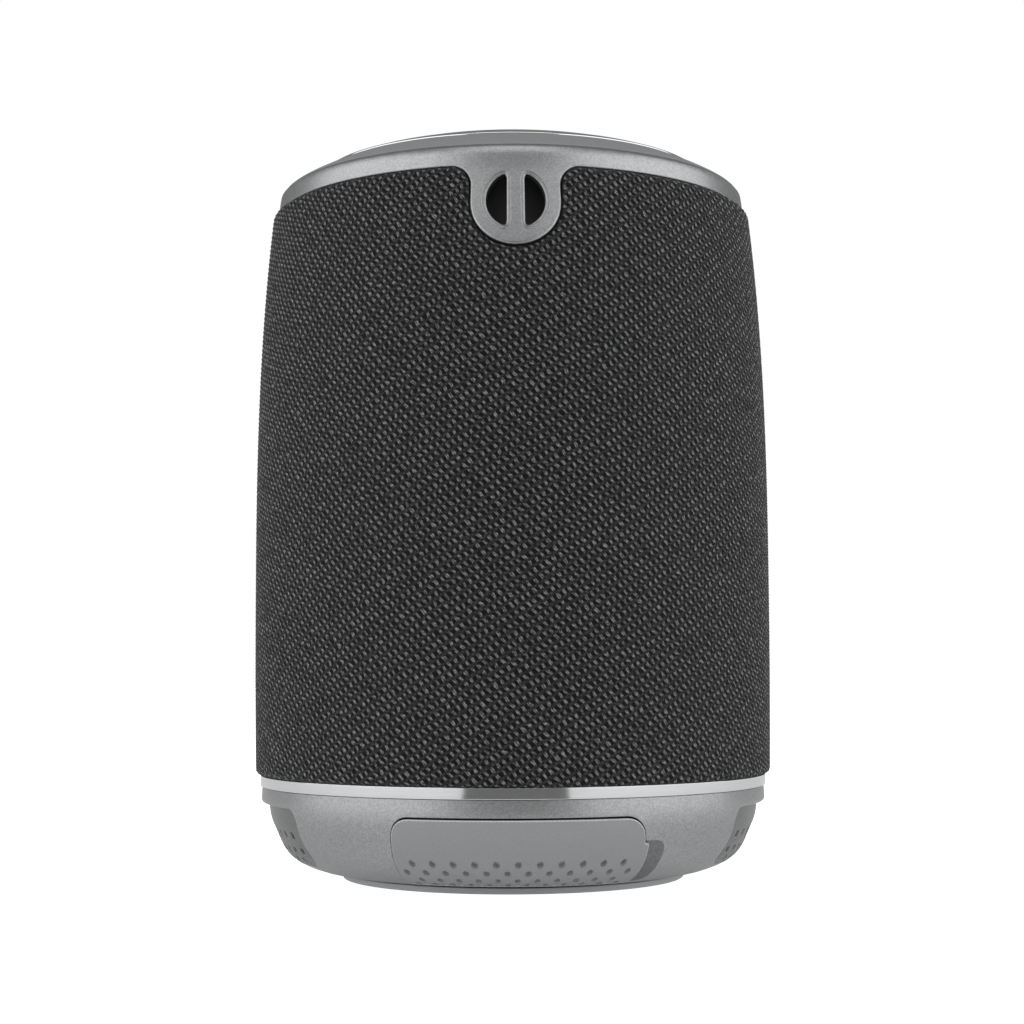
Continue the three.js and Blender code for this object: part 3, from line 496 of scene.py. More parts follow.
def weld(made):
    """Joins the two sides of a seam."""
    work = bmesh.new()
    work.from_mesh(made.data)
    bmesh.ops.remove_doubles(work, verts=work.verts, dist=2e-6)
    work.to_mesh(made.data)
    work.free()
    made.data.set_sharp_from_angle(angle=math.radians(38))
    return made


def sprayed(name, dark, light):
    """Silver lacquer on ABS: the flake gives it grain, and its spread a slow change of gloss."""
    material, tree, place, surface = new_material(name)
    flake_size = 0.2  # mm, coarser than the real flake so that it shows
    flake = add_node(tree, "ShaderNodeTexVoronoi", {"Vector": place, "Scale": 1000 / flake_size})
    drift = add_node(tree, "ShaderNodeTexNoise", {"Vector": place, "Scale": 90.0, "Detail": 2.0})
    tilt = add_node(tree, "ShaderNodeSeparateColor", {"Color": flake.outputs["Color"]})
    tones = {0: tilt.outputs["Red"], 6: linear(dark), 7: linear(light)}
    tone = add_node(tree, "ShaderNodeMix", tones, data_type="RGBA")
    spread = {"Value": drift.outputs["Fac"], "To Min": 0.35, "To Max": 0.39}
    gloss = add_node(tree, "ShaderNodeMapRange", spread)
    relief = {"Height": tilt.outputs["Green"], "Strength": 0.06, "Distance": 0.00002}
    bump = add_node(tree, "ShaderNodeBump", relief)
    settings = {
        "Base Color": tone.outputs[2],
        "Metallic": 0.85,
        "Roughness": gloss.outputs["Result"],
        "Coat Weight": 0.15,
        "Coat Roughness": 0.3,
        "Normal": bump.outputs["Normal"],
    }
    shader = add_node(tree, "ShaderNodeBsdfPrincipled", settings)
    tree.links.new(shader.outputs["BSDF"], surface)
    return material


silver_lacquer = sprayed("sprayed silver lacquer with aluminium flake", "#949596", "#acadae")
# A darker copy of the silver lacquer: painted shade for the finger recess and the sunk vents.
recess_shade_lacquer = sprayed("silver lacquer darkened as painted recess shade", "#6e6f70", "#858687")

bowl_edge_radius = 31.7
bowl_low = 1.4
bowl_rise = 12.5
base_radius = 47.0
base_top = 17.1
base_wall = 2.2
unrolled = 46.5  # radius at which the bowl is laid flat


def bowl_profile(start_radius):
    """A quarter of an ellipse up to a short upright edge, as (radius, height)."""
    quarter = [math.radians(3 * i) for i in range(31)]
    curve = [
        (
            bowl_edge_radius + (base_radius - bowl_edge_radius) * math.sin(t),
            bowl_low + bowl_rise * (1 - math.cos(t)),
        )
        for t in quarter
    ]
    edge = [(base_radius, 16.9), (base_radius - 0.03, 17.02), (base_radius - 0.12, base_top)]
    return [(start_radius, bowl_low - 0.001), *curve, (base_radius, 15.2), *edge]


bowl_place, bowl_run, bowl_length = surface_of(bowl_profile(29.5), unrolled)

flap_half = 21.0
flap_plane = math.sqrt(base_radius**2 - flap_half**2)  # depth at which the flap's widths are given
flap_spread = 3.1
flap_low = 2.0
flap_high = 13.8
lip_reach = 0.9
lip_high = 9.4


def flap_side(height):
    """Half the flap's width, which grows downwards."""
    return flap_half + flap_spread * (flap_high - height) / (flap_high - flap_low)


def on_bowl(corners, spacing=0.7):
    """Corners of (width at the flap's plane, height, radius) as a loop on the unrolled bowl."""
    laid = [(unrolled * math.atan(x / flap_plane), bowl_run(z), radius) for x, z, radius in corners]
    return even(rounded(laid, 6), spacing)


def flap_outline():
    wide = flap_side(flap_low)
    return on_bowl(
        [
            (-wide, flap_low, 1.6),
            (wide + lip_reach, flap_low, 1.8),
            (flap_side(lip_high) + lip_reach, lip_high, 0.4),
            (flap_side(lip_high), lip_high, 0.3),
            (flap_half, flap_high, 3.6),
            (-flap_half, flap_high, 3.0),
        ]
    )


def oval(centre_a, centre_s, half_a, half_s, count=16):
    turns = [math.tau * i / count for i in range(count)]
    return np.array([(centre_a + half_a * math.cos(t), centre_s + half_s * math.sin(t)) for t in turns])


vent_half = math.radians(34.5)
vent_low = 3.8
vent_high = 14.2


def vent_outline(side):
    middle = math.pi / 2 * side
    corners = [
        (unrolled * (middle - vent_half), bowl_run(vent_low), 5),
        (unrolled * (middle + vent_half), bowl_run(vent_low), 5),
        (unrolled * (middle + vent_half), bowl_run(vent_high), 3),
        (unrolled * (middle - vent_half), bowl_run(vent_high), 3),
    ]
    return even(rounded(corners, 8), 0.9)


half_way = math.pi * unrolled
shell_edge = even([(-half_way, 0), (half_way, 0), (half_way, bowl_length), (-half_way, bowl_length)], 1.2)
port_opening = inset(flap_outline(), -0.1)
port_opening[:, 1] += 0.22 * np.clip((port_opening[:, 1] - bowl_run(11)) / 3, 0, 1)  # wider gap on top
vent_openings = [vent_outline(-1), vent_outline(1)]
scoop_depth = 1.3
scoop_reach = 4.3
scoop_high = 9.9
scoop_step = 0.3
port_round = 0.15
vent_round = 0.7


def scoop_outline(top, corner):
    return on_bowl(
        [
            (flap_half - 2, 2.2, 0.5),
            (flap_side(2.2) + lip_reach + scoop_reach, 2.2, 2.4),
            (flap_side(top) + lip_reach + scoop_reach, top, corner),
            (flap_half - 2, top, 0.5),
        ]
    )


scoop = scoop_outline(scoop_high, 2.4)
scoop_slope = scoop_outline(14, 0.4)


def vent_depth(flat):
    """The vents are deepest at the top and run out into the bowl at the bottom."""
    share = np.clip((flat[:, 1] - bowl_run(vent_low)) / 7.5, 0, 1)
    return share * share * (3 - 2 * share)


def shell_rise(flat):
    height = roll(-within(flat, port_opening), port_round)
    for opening in vent_openings:
        height += roll(-within(flat, opening), vent_round) * (0.1 + 0.9 * vent_depth(flat))
    sunk = np.minimum(within(flat, scoop_slope) / scoop_reach, within(flat, scoop) / scoop_step)
    return height - scoop_depth * np.clip(sunk, 0, 1)


def bare_behind(made):
    """The spray only reaches the outside: the holes' sides and the back stay black."""
    made.data.materials.append(black_abs)
    half = len(made.data.vertices) // 2
    for face in made.data.polygons:
        face.material_index = int(max(face.vertices) >= half)
    return made


def refinish(made, chosen, material):
    """Gives another finish to the chosen faces of a piece's outside."""
    made.data.materials.append(material)
    index = len(made.data.materials) - 1
    half = len(made.data.vertices) // 2
    centres = np.array([face.center / millimetre for face in made.data.polygons])
    chosen = chosen(centres)
    for face in made.data.polygons:
        if chosen[face.index] and max(face.vertices) < half:
            face.material_index = index


def laid_flat(centres):
    """Where real places on the bowl come when it is laid flat."""
    turn = np.arctan2(centres[:, 0], -centres[:, 1])
    return np.stack([turn * unrolled, bowl_run(centres[:, 2])], 1)


creases = edge_loops(port_opening, port_round, -1)
for opening in vent_openings:
    creases += edge_loops(opening, vent_round, -1)
creases += [inset(scoop, scoop_step * share) for share in (0, 0.4, 0.8, 1.2)]
openings = [port_opening, *vent_openings]
shell = skin(bowl_place, shell_edge, openings, creases, shell_rise, base_wall, 1.5)
made = bare_behind(show("base_shell_piece", *shell, silver_lacquer))
# The finger recess gets the darker lacquer as painted shade.
refinish(made, lambda centres: within(laid_flat(centres), scoop) > 0, recess_shade_lacquer)
weld(made)
fit(made, "housing", "metallic_paint", "base_shell")


# ---- Side vents
# Two separate insets of sprayed ABS behind the openings at the sides, given a darker lacquer
# that paints in the shade of their recess. Each has staggered rows of oval holes whose edges
# are rounded, so that a thin light line shows under every hole.
vent_proud = -0.08
vent_inset = 1.5
vent_wall = 1.4
hole_pitch = math.radians(4.75)
vent_hole_half = 0.6
vent_hole_round = 0.3
vent_rows = [(8.2, 12, 1.0), (5.8, 13, 0.75), (4.6, 12, 0.55)]  # height, count, half height on the bowl


def vent_holes(side):
    holes = []
    for height, count, half in vent_rows:
        for i in range(count):
            turn = math.pi / 2 * side + hole_pitch * (i - (count - 1) / 2)
            holes.append(oval(unrolled * turn, bowl_run(height), vent_hole_half, half))
    return holes


for name, side in (("side_vent_left", -1), ("side_vent_right", 1)):
    holes = vent_holes(side)
    outline = inset(vent_outline(side), -0.25)

    def vent_rise(flat):
        height = vent_proud - (vent_inset + vent_proud) * vent_depth(flat)
        for hole in holes:
            near = np.hypot(*(flat - hole.mean(0)).T) < 2.5
            height[near] += roll(-within(flat[near], hole), vent_hole_round)
        return height

    creases = [inset(hole, -0.35 * share) for hole in holes for share in (0.1, 0.35, 0.7, 1.1)]
    wall = skin(bowl_place, outline, holes, creases, vent_rise, vent_inset + vent_wall, 1.3)
    # The sunk vent insets get the darker lacquer as painted shade.
    made = bare_behind(show(f"{name}_piece", *wall, recess_shade_lacquer))
    fit(made, "housing", "metallic_paint", name)


# ---- Port flap and its tether
# A plug of grey silicone rubber over the sockets, with a rounded edge painted a lighter
# grey as a painted highlight, rows of oval dimples that carry on the vents' pattern, and a
# lip at its free end for a finger.
rubber = two_tone(
    "moulded grey silicone rubber", "#898b8c", "#959798", 2500.0, (0.15, 0.08), Roughness=0.42, IOR=1.43
)
# A lighter grey for the flap's rounded edge: a painted highlight.
flap_edge_highlight = two_tone(
    "rubber lightened as a painted edge highlight", "#c2c3c4", "#cdcecf", 1500.0, Roughness=0.35
)

flap_proud = 0.2
flap_thickness = 1.5
flap_round = 0.35
edge_highlight_width = 0.2
flap_edge = flap_outline()
dimple_rows = [(6.3, 11), (4.7, 12), (3.3, 11), (2.45, 12)]
dimples = []
for height, count in dimple_rows:
    for i in range(count):
        turn = hole_pitch * (i - (count - 1) / 2)
        dimples.append((unrolled * turn, bowl_run(height)))
dimple_half = (0.56, 0.8)
dimple_depth = 0.7


def flap_rise(flat):
    height = flap_proud + roll(within(flat, flap_edge), flap_round)
    for a, s in dimples:
        reach = np.hypot((flat[:, 0] - a) / dimple_half[0], (flat[:, 1] - s) / dimple_half[1])
        sunk = np.clip((1.15 - reach) / 0.5, 0, 1)
        height -= dimple_depth * sunk**2 * (3 - 2 * sunk)
    return height


creases = edge_loops(flap_edge, flap_round)
for a, s in dimples:
    for share in (0.35, 0.7, 0.9, 1.15):
        creases.append(oval(a, s, share * dimple_half[0], share * dimple_half[1], 12))
flap = skin(bowl_place, flap_edge, [], creases, flap_rise, flap_thickness - flap_proud, 1.1)
made = show("port_flap_piece", *flap, rubber)
# The band along the flap's edge gets the painted highlight.
refinish(made, lambda centres: within(laid_flat(centres), flap_edge) < edge_highlight_width, flap_edge_highlight)
fit(made, "port_flap", "soft_grey", "port_flap")

# The tether is a short strap of the same rubber, glued behind the flap's other end.
tether_outline = on_bowl([(-22.9, 7.9, 0.4), (-20.4, 7.9, 0.4), (-20.4, 11.7, 0.4), (-22.2, 11.7, 0.4)])
tether_top = -flap_thickness - 0.1
tether_round = 0.2
tether_depth = 2.3


def tether_rise(flat):
    return tether_top + roll(within(flat, tether_outline), tether_round)


creases = edge_loops(tether_outline, tether_round)
tether = skin(bowl_place, tether_outline, [], creases, tether_rise, tether_depth, 1.0)
fit(show("flap_tether_piece", *tether, rubber), "housing", "soft_grey", "flap_tether")


# ---- Base trim ring
# A turned aluminium ring between the bowl and the fabric, clear anodised. Its very fine
# turning marks run round it and stretch each reflection upright.
aluminium = two_tone(
    "turned and clear anodised aluminium",
    "#d0d1d2",
    "#e2e3e4",
    1.0,
    (0.08, 0.02),
    2.0,
    (60.0, 60.0, 9000.0),
    Metallic=1.0,
    Roughness=0.1,
)

trim_outline = rounded([(44.5, 17.2, 0.2), (47.2, 17.2, 0.12), (47.2, 19.2, 0.12), (44.5, 19.2, 0.2)])
made = show("base_trim_ring_piece", *turned(trim_outline, 256), aluminium)
fit(made, "housing", "bright_trim", "base_trim_ring")


# ---- Boards, box, drive units and battery
# The working parts inside, left as the frame has them. Each gets the finish of the real
# part: solder mask on glass fibre, black ferrite, pressed paper, butyl rubber, and blue
# heat-shrink round the cells.
glass_fibre_pitch = 0.5  # mm between the laminate's threads
inner_finishes = {
    "metallic_paint": silver_lacquer,
    "bright_trim": aluminium,
    "soft_grey": rubber,
    "black_plastic": black_abs,
    "zinc_steel": zinc,
    "black_rubber": two_tone("moulded black butyl rubber", "#161617", "#1e1e20", 1800.0, Roughness=0.6),
    "circuit_board": two_tone(
        "green solder mask on glass fibre", "#0f4a2a", "#1a6238", 1000 / glass_fibre_pitch, Roughness=0.35
    ),
    "paper_cone": two_tone("black pressed paper pulp", "#1a1a1b", "#2a2a2b", 1400.0, Roughness=0.8),
    "magnet": two_tone("black coated ferrite", "#232427", "#303236", 1200.0, Roughness=0.5, Metallic=0.3),
    "cell": two_tone("blue heat-shrink film", "#1d4fa0", "#2a64bb", 300.0, Roughness=0.3),
    "ribbon": two_tone(
        "amber polyimide ribbon", "#b0641c", "#c98232", 500.0, stretch=(1.0, 1.0, 0.05), Roughness=0.4
    ),
    "light_diffuser": two_tone("milky polycarbonate diffuser", "#d4d6d8", "#e2e4e5", 700.0, Roughness=0.4),
    "sleeve_fabric": two_tone("black knitted backing", "#161617", "#202022", 1500.0, Roughness=0.9),
}
grey_abs = two_tone("moulded grey ABS", "#48484a", "#545456", 1500.0, Roughness=0.5)
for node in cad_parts.values():
    node.data.materials[0] = inner_finishes[node.data.materials[0].name]
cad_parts["grille_frame"].data.materials[0] = grey_abs


# ---- Fabric sleeve
# A tube of dark grey polyester acoustic mesh, stretched over the frame with its hems turned
# in at the top, at the bottom and round the strap tab. It is an open knit on a slanting
# lattice: yarns in two directions cross between the holes, each yarn of three strands.
sleeve_low = 19.3
sleeve_high = 124.05
body_radius = 48.3
waist = 50.73
above_waist = 73.3
below_waist = 31.4
hem = 0.9
holes_round_u = 196
holes_round_v = 114
rise_u = 0.5545  # lattice steps to each millimetre of height
rise_v = 0.6016


def sleeve_radius(height):
    above = np.clip((height - waist) / above_waist, 0, None)
    below = np.clip((waist - height) / below_waist, 0, None)
    return body_radius - 3.0 * above**2.8 - 0.25 * below**2


tab_half = 7.8
tab_low = 110.1
tab_fillet = 3.5
rim_low = 124.2
tab_unrolled = 45.0


def tab_outline(grow, top):
    """The strap tab, from its left fillet round its lower end to its right fillet."""
    half = tab_half + grow
    fillet = tab_fillet - grow
    arc = [math.radians(10 * i) for i in range(19)]
    left = []
    for i, t in enumerate(arc[:10]):
        drop = fillet * (1 - math.cos(t)) + (rim_low - top) * (1 - i / 9)
        left.append((-half - fillet + fillet * math.sin(t), rim_low - drop))
    middle = tab_low + tab_half
    bottom = [(-half * math.cos(t), middle - half * math.sin(t)) for t in arc]
    right = [(-x, y) for x, y in reversed(left)]
    return left + bottom + right


lattice = holes_round_u / math.tau * rise_v + holes_round_v / math.tau * rise_u
corners_u = np.arange(-330, 460) / 2
corners_v = np.arange(-340, 220) / 2
grid_u, grid_v = np.meshgrid(corners_u, corners_v, indexing="ij")
turn = (rise_v * grid_u + rise_u * grid_v) / lattice
height = (holes_round_v * grid_u - holes_round_u * grid_v) / math.tau / lattice
used = (turn >= -math.pi - 1e-9) & (turn < math.pi - 1e-9)
used &= (height > sleeve_low - 1.2) & (height < sleeve_high + 1.2)
number = {}
for i, j in np.argwhere(used):
    number[(round(2 * grid_u[i, j]), round(2 * grid_v[i, j]))] = len(number)
keys = np.array(list(number)) / 2
turn = (rise_v * keys[:, 0] + rise_u * keys[:, 1]) / lattice
height = (holes_round_v * keys[:, 0] - holes_round_u * keys[:, 1]) / math.tau / lattice


def numbered(i, j):
    for around in (0, -1, 1):
        found = number.get((i + around * 2 * holes_round_u, j + around * 2 * holes_round_v))
        if found is not None:
            return found
    return None


cut_out = tab_outline(0.3, sleeve_high)
cut_out = even([*cut_out, (cut_out[-1][0], 127), (cut_out[0][0], 127)], 0.4)
flat = np.stack([turn * tab_unrolled, height], 1)
near_tab = (np.abs(flat[:, 0]) < 14) & (height > 106)
to_tab = np.full(len(flat), 99.0)
to_tab[near_tab] = -within(flat[near_tab], cut_out)
outline_tree = KDTree(len(cut_out))
for i, (x, y) in enumerate(cut_out):
    outline_tree.insert((x, y, 0), i)
outline_tree.balance()
outside = (height < sleeve_low) | (height > sleeve_high) | (to_tab < 0)
height = np.clip(height, sleeve_low, sleeve_high)
for i in np.argwhere(to_tab < 0)[:, 0]:
    found = outline_tree.find((flat[i, 0], height[i], 0))[0]
    turn[i] = found.x / tab_unrolled
    height[i] = min(found.y, sleeve_high)
to_edge = np.minimum(np.minimum(height - sleeve_low, sleeve_high - height), np.clip(to_tab, 0, None))
wave_u = np.cos(math.tau * keys[:, 0])
wave_v = np.cos(math.tau * keys[:, 1])
relief = np.where(wave_u + wave_v > 1, -0.32, np.where(wave_u + wave_v < -1, 0.06, -0.06))
radius = sleeve_radius(height) + roll(to_edge, hem) + relief * np.clip(to_edge / 0.5, 0, 1)
points = np.stack([radius * np.sin(turn), -radius * np.cos(turn), height], 1)
faces = []
weave = []
for i, j in number:
    corners = [(i, j), (i, j + 1), (i + 1, j), (i + 1, j + 1)]
    found = [numbered(*corner) for corner in corners]
    for three in ((0, 1, 2), (2, 1, 3)):
        face = [found[k] for k in three]
        if None in face or all(outside[face]):
            continue
        faces.append(face)
        weave += [(corners[k][0] / 2, corners[k][1] / 2) for k in three]

# The colour carries painted light and shade: yarns lighter at their crests and along each strand, one
# direction of yarn half as bright as the other, and near-black in the holes for the shade inside.
knit, tree, place, surface = new_material("open-knit polyester mesh with painted yarn shading")
threads = add_node(tree, "ShaderNodeUVMap", uv_map="weave")
lattice_place = add_node(tree, "ShaderNodeSeparateXYZ", {"Vector": threads.outputs["UV"]})
loose = add_node(tree, "ShaderNodeTexNoise", {"Vector": place, "Scale": 700.0, "Detail": 1.0})
pulls = add_node(tree, "ShaderNodeSeparateColor", {"Color": loose.outputs["Color"]})
waves = []
strands = []
for axis, pull in (("X", "Red"), ("Y", "Green")):
    shift = add_node(tree, "ShaderNodeMath", {0: pulls.outputs[pull], 1: 0.5}, operation="SUBTRACT")
    slack = {0: shift.outputs[0], 1: 0.65, 2: lattice_place.outputs[axis]}
    steps = add_node(tree, "ShaderNodeMath", slack, operation="MULTIPLY_ADD").outputs[0]
    angle = add_node(tree, "ShaderNodeMath", {0: steps, 1: math.tau}, operation="MULTIPLY")
    waves.append(add_node(tree, "ShaderNodeMath", {0: angle.outputs[0]}, operation="COSINE").outputs[0])
    fine = add_node(tree, "ShaderNodeMath", {0: steps, 1: math.tau * 3}, operation="MULTIPLY")
    strands.append(add_node(tree, "ShaderNodeMath", {0: fine.outputs[0]}, operation="COSINE").outputs[0])
yarns = []
# The last number is a painted highlight level: one yarn direction is painted half as bright.
for across, along, strand, yarn_highlight_level in ((0, 1, strands[0], 1.0), (1, 0, strands[1], 0.5)):
    spread = {"Value": waves[across], "From Min": 0.2, "From Max": -0.8}
    body = add_node(tree, "ShaderNodeMapRange", spread, interpolation_type="SMOOTHSTEP")
    spread = {"Value": waves[along], "From Min": -1.0, "From Max": 0.8, "To Min": 0.25}
    crest_highlight = add_node(tree, "ShaderNodeMapRange", spread)
    spread = {"Value": strand, "From Min": -1.0, "From Max": 1.0, "To Min": 0.55, "To Max": yarn_highlight_level}
    strand_shading = add_node(tree, "ShaderNodeMapRange", spread)
    seen = add_node(tree, "ShaderNodeMath", {0: body.outputs[0], 1: crest_highlight.outputs[0]}, operation="MULTIPLY")
    lit = add_node(tree, "ShaderNodeMath", {0: seen.outputs[0], 1: strand_shading.outputs[0]}, operation="MULTIPLY")
    level = add_node(tree, "ShaderNodeMath", {0: lit.outputs[0], 1: yarn_highlight_level}, operation="MULTIPLY")
    yarns.append(level.outputs[0])
upper = add_node(tree, "ShaderNodeMath", {0: yarns[0], 1: yarns[1]}, operation="MAXIMUM")
fibre = add_node(tree, "ShaderNodeTexNoise", {"Vector": place, "Scale": 3000.0, "Detail": 2.0})
spread = {"Value": fibre.outputs["Fac"], "From Min": 0.25, "From Max": 0.75, "To Min": 0.25, "To Max": 1.6}
uneven = add_node(tree, "ShaderNodeMapRange", spread)
thread = add_node(tree, "ShaderNodeMath", {0: upper.outputs[0], 1: uneven.outputs[0]}, operation="MULTIPLY")
lit_thread = add_node(tree, "ShaderNodeMath", {0: thread.outputs[0], 1: 1.7}, operation="POWER")
# Near-black for the holes is painted shade; the lighter end carries the painted yarn highlights.
tones = {0: lit_thread.outputs[0], 6: linear("#030303"), 7: linear("#929294")}
cloth = add_node(tree, "ShaderNodeMix", tones, data_type="RGBA")
bump = add_node(tree, "ShaderNodeBump", {"Height": upper.outputs[0], "Strength": 0.7, "Distance": 0.00012})
settings = {
    "Base Color": cloth.outputs[2],
    "Roughness": 0.85,
    "Specular IOR Level": 0.25,
    "Sheen Weight": 0.05,
    "Sheen Roughness": 0.5,
    "Normal": bump.outputs["Normal"],
}
shader = add_node(tree, "ShaderNodeBsdfPrincipled", settings)
tree.links.new(shader.outputs["BSDF"], surface)

sleeve = show("fabric_sleeve_piece", points, faces, knit)
sleeve.data.set_sharp_from_angle(angle=math.pi)
sleeve.data.uv_layers.new(name="weave").uv.foreach_set("vector", np.array(weave, np.float32).ravel())
work = bmesh.new()
work.from_mesh(sleeve.data)
bmesh.ops.delete(work, geom=[v for v in work.verts if not v.link_faces], context="VERTS")
work.to_mesh(sleeve.data)
work.free()
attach(sleeve, "housing")
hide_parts("fabric_sleeve")


# ---- Crown with its strap tab
# The rim that closes the body's top, moulded in ABS in one piece with the tab that hangs
# from it at the back, and sprayed with the same silver lacquer. Two D-shaped slots with two
# fine beads round them leave the bar that a wrist strap is looped round.
tab_lean = (sleeve_radius(np.array(tab_low)) + 0.2 - 44.35) / 14.1
crown_profile = [(44.35 + (rim_low - z) * tab_lean, z) for z in np.linspace(109, rim_low - 0.15, 40)]
crown_profile += [
    (44.36, rim_low),
    (44.34, rim_low + 0.25),
    (44.2, 125.8),
    (44.1, 127.0),
    (44.03, 127.35),
    (43.88, 127.65),
    (43.68, 127.9),
    (43.4, 128.03),
    (43.0, 128.05),
]
crown_place, crown_run, crown_length = surface_of(crown_profile, tab_unrolled)
half_way = math.pi * tab_unrolled
tab_line = [(x, crown_run(z)) for x, z in tab_outline(0, rim_low)]


def crown_outline(reach):
    """The unrolled rim with its tab, closed at a distance to each side."""
    low = crown_run(rim_low)
    return even([(-reach, low), *tab_line, (reach, low), (reach, crown_length), (-reach, crown_length)], 0.8)


crown_edge = crown_outline(half_way)
crown_rounding = crown_outline(half_way + 5)
slot_radius = 5.05
bar_half = 1.53
slot_middle = 118.0
bead_places = (0.3, 0.66)  # two thin raised lines round each slot
bead_half = 0.1
bead_height = 0.13


def strap_slot(side):
    """A D with its two corners rounded."""
    reach = math.acos(bar_half / slot_radius)
    turns = [(reach - 0.17) * (i / 9) for i in range(-9, 10)]
    arc = [(slot_radius * math.cos(t), slot_radius * math.sin(t)) for t in turns]
    x, z = arc[-1]
    corner = [(x - 0.42, z + 0.06), (bar_half + 0.16, z - 0.1), (bar_half, z - 0.6)]
    outline = arc + corner + [(x, -z) for x, z in reversed(corner)]
    loop = [(side * x, crown_run(slot_middle + z)) for x, z in outline]
    return even(loop if side > 0 else loop[::-1], 0.4)


slots = [strap_slot(-1), strap_slot(1)]


def crown_rise(flat):
    height = roll(within(flat, crown_rounding), 0.4)
    for slot in slots:
        near = np.hypot(*(flat - slot.mean(0)).T) < 8
        away = -within(flat[near], slot)
        height[near] += roll(away, 0.2)
        for middle in bead_places:
            height[near] += bead_height * np.sqrt(np.clip(1 - ((away - middle) / bead_half) ** 2, 0, 1))
    return height


creases = edge_loops(crown_rounding, 0.4)
for slot in slots:
    creases += edge_loops(slot, 0.2, -1)
    for middle in bead_places:
        steps = [bead_half * share for share in (-1, -0.8, -0.4, 0, 0.4, 0.8, 1)]
        creases += [inset(slot, -middle - step) for step in steps]
crown = skin(crown_place, crown_edge, slots, creases, crown_rise, 1.5, 1.3)
made = weld(bare_behind(show("crown_frame_piece", *crown, silver_lacquer)))
fit(made, "housing", "metallic_paint", "crown_frame")


# ---- Soft band
# The sloping band inside the rim: grey soft-touch elastomer moulded over ABS, matt, with a
# fine leathery grain from the tool.
soft_touch = two_tone("grain-moulded soft-touch elastomer", "#858789", "#939597", 1500.0, Roughness=0.6)
band_outer = 43.45
band_inner = 36.5
band_low = 128.1
band_high = 131.85
slope = [
    (band_outer + t * (band_inner - band_outer), band_low + (band_high - band_low) * t**0.85)
    for t in (i / 16 for i in range(17))
]
band_outline = [*slope, (band_inner, 130.6), (band_outer - 0.6, band_low - 0.5)]
made = show("soft_band_piece", *turned(band_outline[::-1], 256), soft_touch)
fit(made, "housing", "soft_grey", "soft_band")


# ---- Top trim ring
# A second turned and anodised aluminium ring, sloped inwards, between the band and the
# control panel.
top_ring_outline = rounded(
    [(33.25, 131.5, 0.1), (36.35, 131.0, 0.1), (36.35, 132.2, 0.35), (33.25, 133.35, 0.35)]
)
made = show("top_trim_ring_piece", *turned(top_ring_outline, 256), aluminium)
fit(made, "housing", "bright_trim", "top_trim_ring")


# ---- Control panel
# A dished disc of black ABS with openings for the five buttons, two microphone holes and a
# groove for the light ring. Its raised shoulder is masked off and sprayed silver.
crest_radius = 29.05
crest_height = 134.5
panel_radius = 32.95
dish_low = 133.2
light_radius = 24.65
light_half = 0.9
button_gap = 0.3
microphone_reach = 18
microphone_hole = 0.6


def dish(radius):
    return dish_low + 0.975 * np.clip(radius / crest_radius, 0, 1) ** 3


def level_place(height, x=0, y=0):
    def place(flat, offset=0.0):
        return np.stack([x + flat[:, 0], y + flat[:, 1], height + offset + 0 * flat[:, 0]], 1)

    return place


def circle(radius, x=0, y=0, count=64):
    turns = [math.tau * i / count for i in range(count)]
    return np.array([(x + radius * math.cos(t), y + radius * math.sin(t)) for t in turns])


def middle_of(node):
    low, high = (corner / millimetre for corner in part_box(node))
    return (low + high) / 2, high.z, (high.x - low.x) / 2


buttons = ["play_button", "volume_up_button", "volume_down_button", "action_button", "microphone_mute_button"]
openings = []
for node in buttons:
    middle, top, half = middle_of(node)
    openings.append(circle(half + button_gap, middle.x, middle.y, 48))
for turn in (math.radians(30), math.radians(210)):
    x = microphone_reach * math.cos(turn)
    y = microphone_reach * math.sin(turn)
    openings.append(circle(microphone_hole, x, y, 16))
panel_edge = circle(panel_radius, count=160)


def panel_rise(flat):
    radius = np.hypot(*flat.T)
    out = np.clip((radius - crest_radius) / (panel_radius - crest_radius), 0, 1)
    shoulder = crest_height - 1.25 * out**1.35
    into = np.clip((crest_radius - radius) / 1.6, 0, 1)
    into = into * into * (3 - 2 * into)
    height = np.where(radius > crest_radius, shoulder, crest_height + (dish(radius) - crest_height) * into)
    height -= np.where(np.abs(radius - light_radius) < light_half + 0.15, 1.2, 0)
    for opening in openings:
        near = np.hypot(*(flat - opening.mean(0)).T) < 12
        height[near] += roll(-within(flat[near], opening), 0.25)
    return height + roll(panel_radius - radius, 0.25)


creases = [circle(panel_radius - step, count=160) for step in (0.02, 0.1, 0.25, 1.0, 2.0, 3.0)]
creases += [circle(crest_radius - step, count=160) for step in (-0.4, 0, 0.3, 0.6, 0.9, 1.2, 1.6)]
for side in (-1, 1):
    groove = light_radius + side * (light_half + 0.15)
    creases += [circle(groove + step, count=160) for step in (-0.01, 0.01)]
for opening in openings:
    creases += [inset(opening, -0.25 * share) for share in (0.1, 0.4, 1.05)]
panel = skin(level_place(0), panel_edge, openings, creases, panel_rise, -131.4, 1.6)
made = show("control_panel_piece", *panel, black_abs)
refinish(made, lambda centres: np.hypot(*centres[:, :2].T) > crest_radius - 0.4, silver_lacquer)
fit(made, "housing", "black_plastic", "control_panel")


# ---- Light ring
# A ring of milky polycarbonate that sits in the groove and spreads the light of the LEDs
# below it. It is dark here, so it looks off-white and faintly translucent.
diffuser = inner_finishes["light_diffuser"]
light_top = float(dish(light_radius))
light_outline = rounded(
    [
        (light_radius - light_half, light_top - 1.1, 0.1),
        (light_radius + light_half, light_top - 1.1, 0.1),
        (light_radius + light_half, light_top, 0.35),
        (light_radius - light_half, light_top, 0.35),
    ]
)
made = show("light_ring_piece", *turned(light_outline), diffuser)
fit(made, "housing", "light_diffuser", "light_ring")


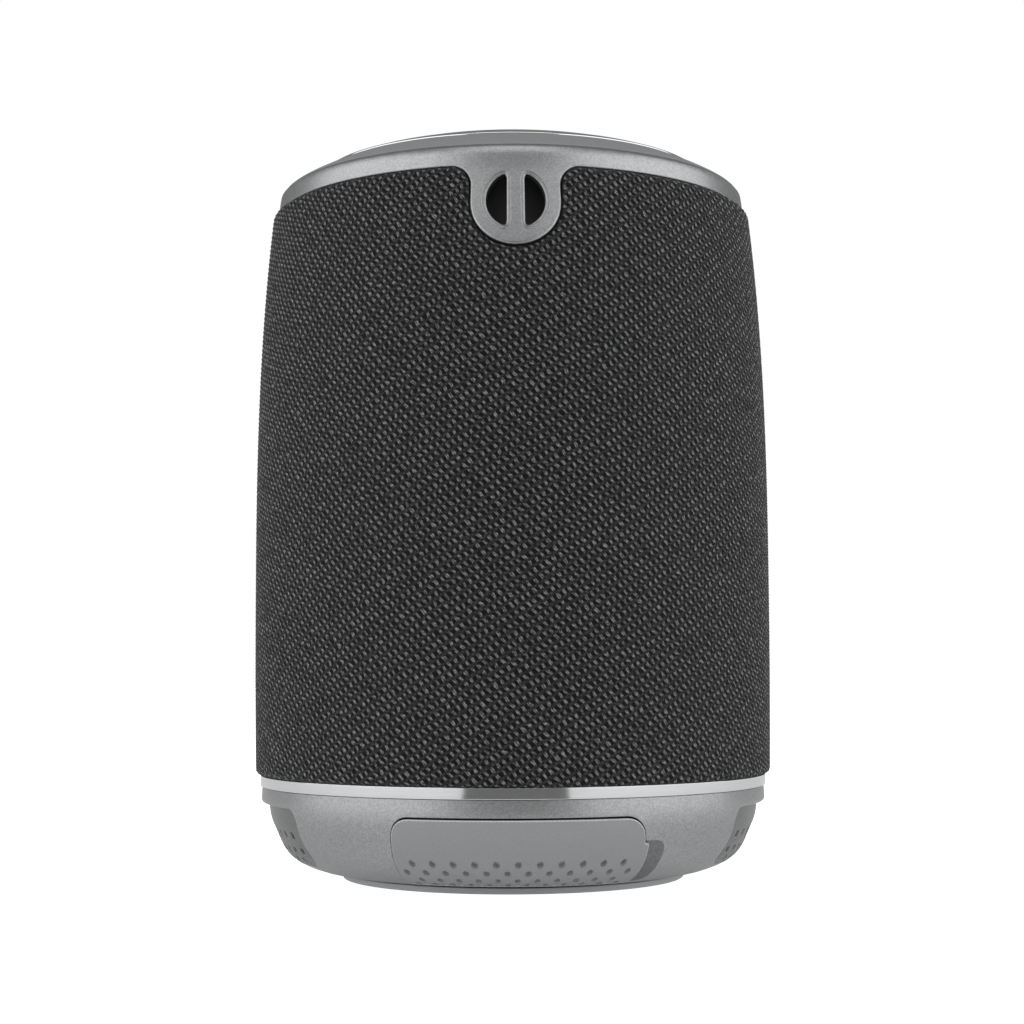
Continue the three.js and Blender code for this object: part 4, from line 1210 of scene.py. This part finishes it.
# ---- Buttons
# Five caps of the grey soft-touch elastomer with a rounded edge, a shallow finger dish and
# a raised sign: a triangle, plus, minus, dot and microphone.
def bar(half_x, half_y, x=0, y=0):
    radius = 0.98 * min(half_x, half_y)
    quarters = [(-1, -1), (1, -1), (1, 1), (-1, 1)]
    return rounded([(x + a * half_x, y + b * half_y, radius) for a, b in quarters], 4)


def cross(half, thick):
    corners = [(thick, thick), (thick, half), (-thick, half)]
    for turn in (90, 180, 270):
        cosine = math.cos(math.radians(turn))
        sine = math.sin(math.radians(turn))
        corners += [(x * cosine - y * sine, x * sine + y * cosine) for x, y in corners[:3]]
    return rounded([(x, y, 0.12) for x, y in corners], 3)


signs = {
    "play_button": [rounded([(-1.8, -2.3, 0.35), (2.3, 0, 0.35), (-1.8, 2.3, 0.35)], 4)],
    "volume_up_button": [cross(1.7, 0.32)],
    "volume_down_button": [bar(1.7, 0.32)],
    "action_button": [circle(0.9, count=24)],
    "microphone_mute_button": [bar(0.6, 1.1, 0, 0.7), bar(1.0, 0.2, 0, -1.7), bar(0.2, 0.45, 0, -1.15)],
}
sign_height = 0.22
sign_slope = 0.14
cap_round = 0.5
cap_dish = 0.3
sign_ink = two_tone("pad-printed light grey ink", "#c9cacb", "#d6d7d8", 1500.0, Roughness=0.5)
for node in buttons:
    middle, top, half = middle_of(node)
    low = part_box(node)[0].z / millimetre
    edge = circle(half, count=64)
    raised = [even(loop, 0.4) for loop in signs[node]]

    def cap_rise(flat):
        radius = np.hypot(*flat.T)
        height = roll(half - radius, cap_round) - cap_dish * (1 - np.clip(radius / (half - 0.6), 0, 1) ** 2)
        for loop in raised:
            height += sign_height * np.clip(within(flat, loop) / sign_slope, 0, 1)
        return height

    creases = edge_loops(edge, cap_round)
    for loop in raised:
        creases += [loop, inset(loop, sign_slope)]
    cap = skin(level_place(top, middle.x, middle.y), edge, [], creases, cap_rise, top - low, 0.9)
    made = show(f"{node}_piece", *cap, soft_touch)
    made.data.materials.append(sign_ink)
    centres = np.array([face.center / millimetre for face in made.data.polygons])
    printed = centres[:, 2] > top - 0.6
    printed &= np.any([inside(centres[:, :2] - (middle.x, middle.y), loop) for loop in raised], axis=0)
    made.data.polygons.foreach_set("material_index", printed.astype(np.int32))
    fit(made, node, "soft_grey", node)
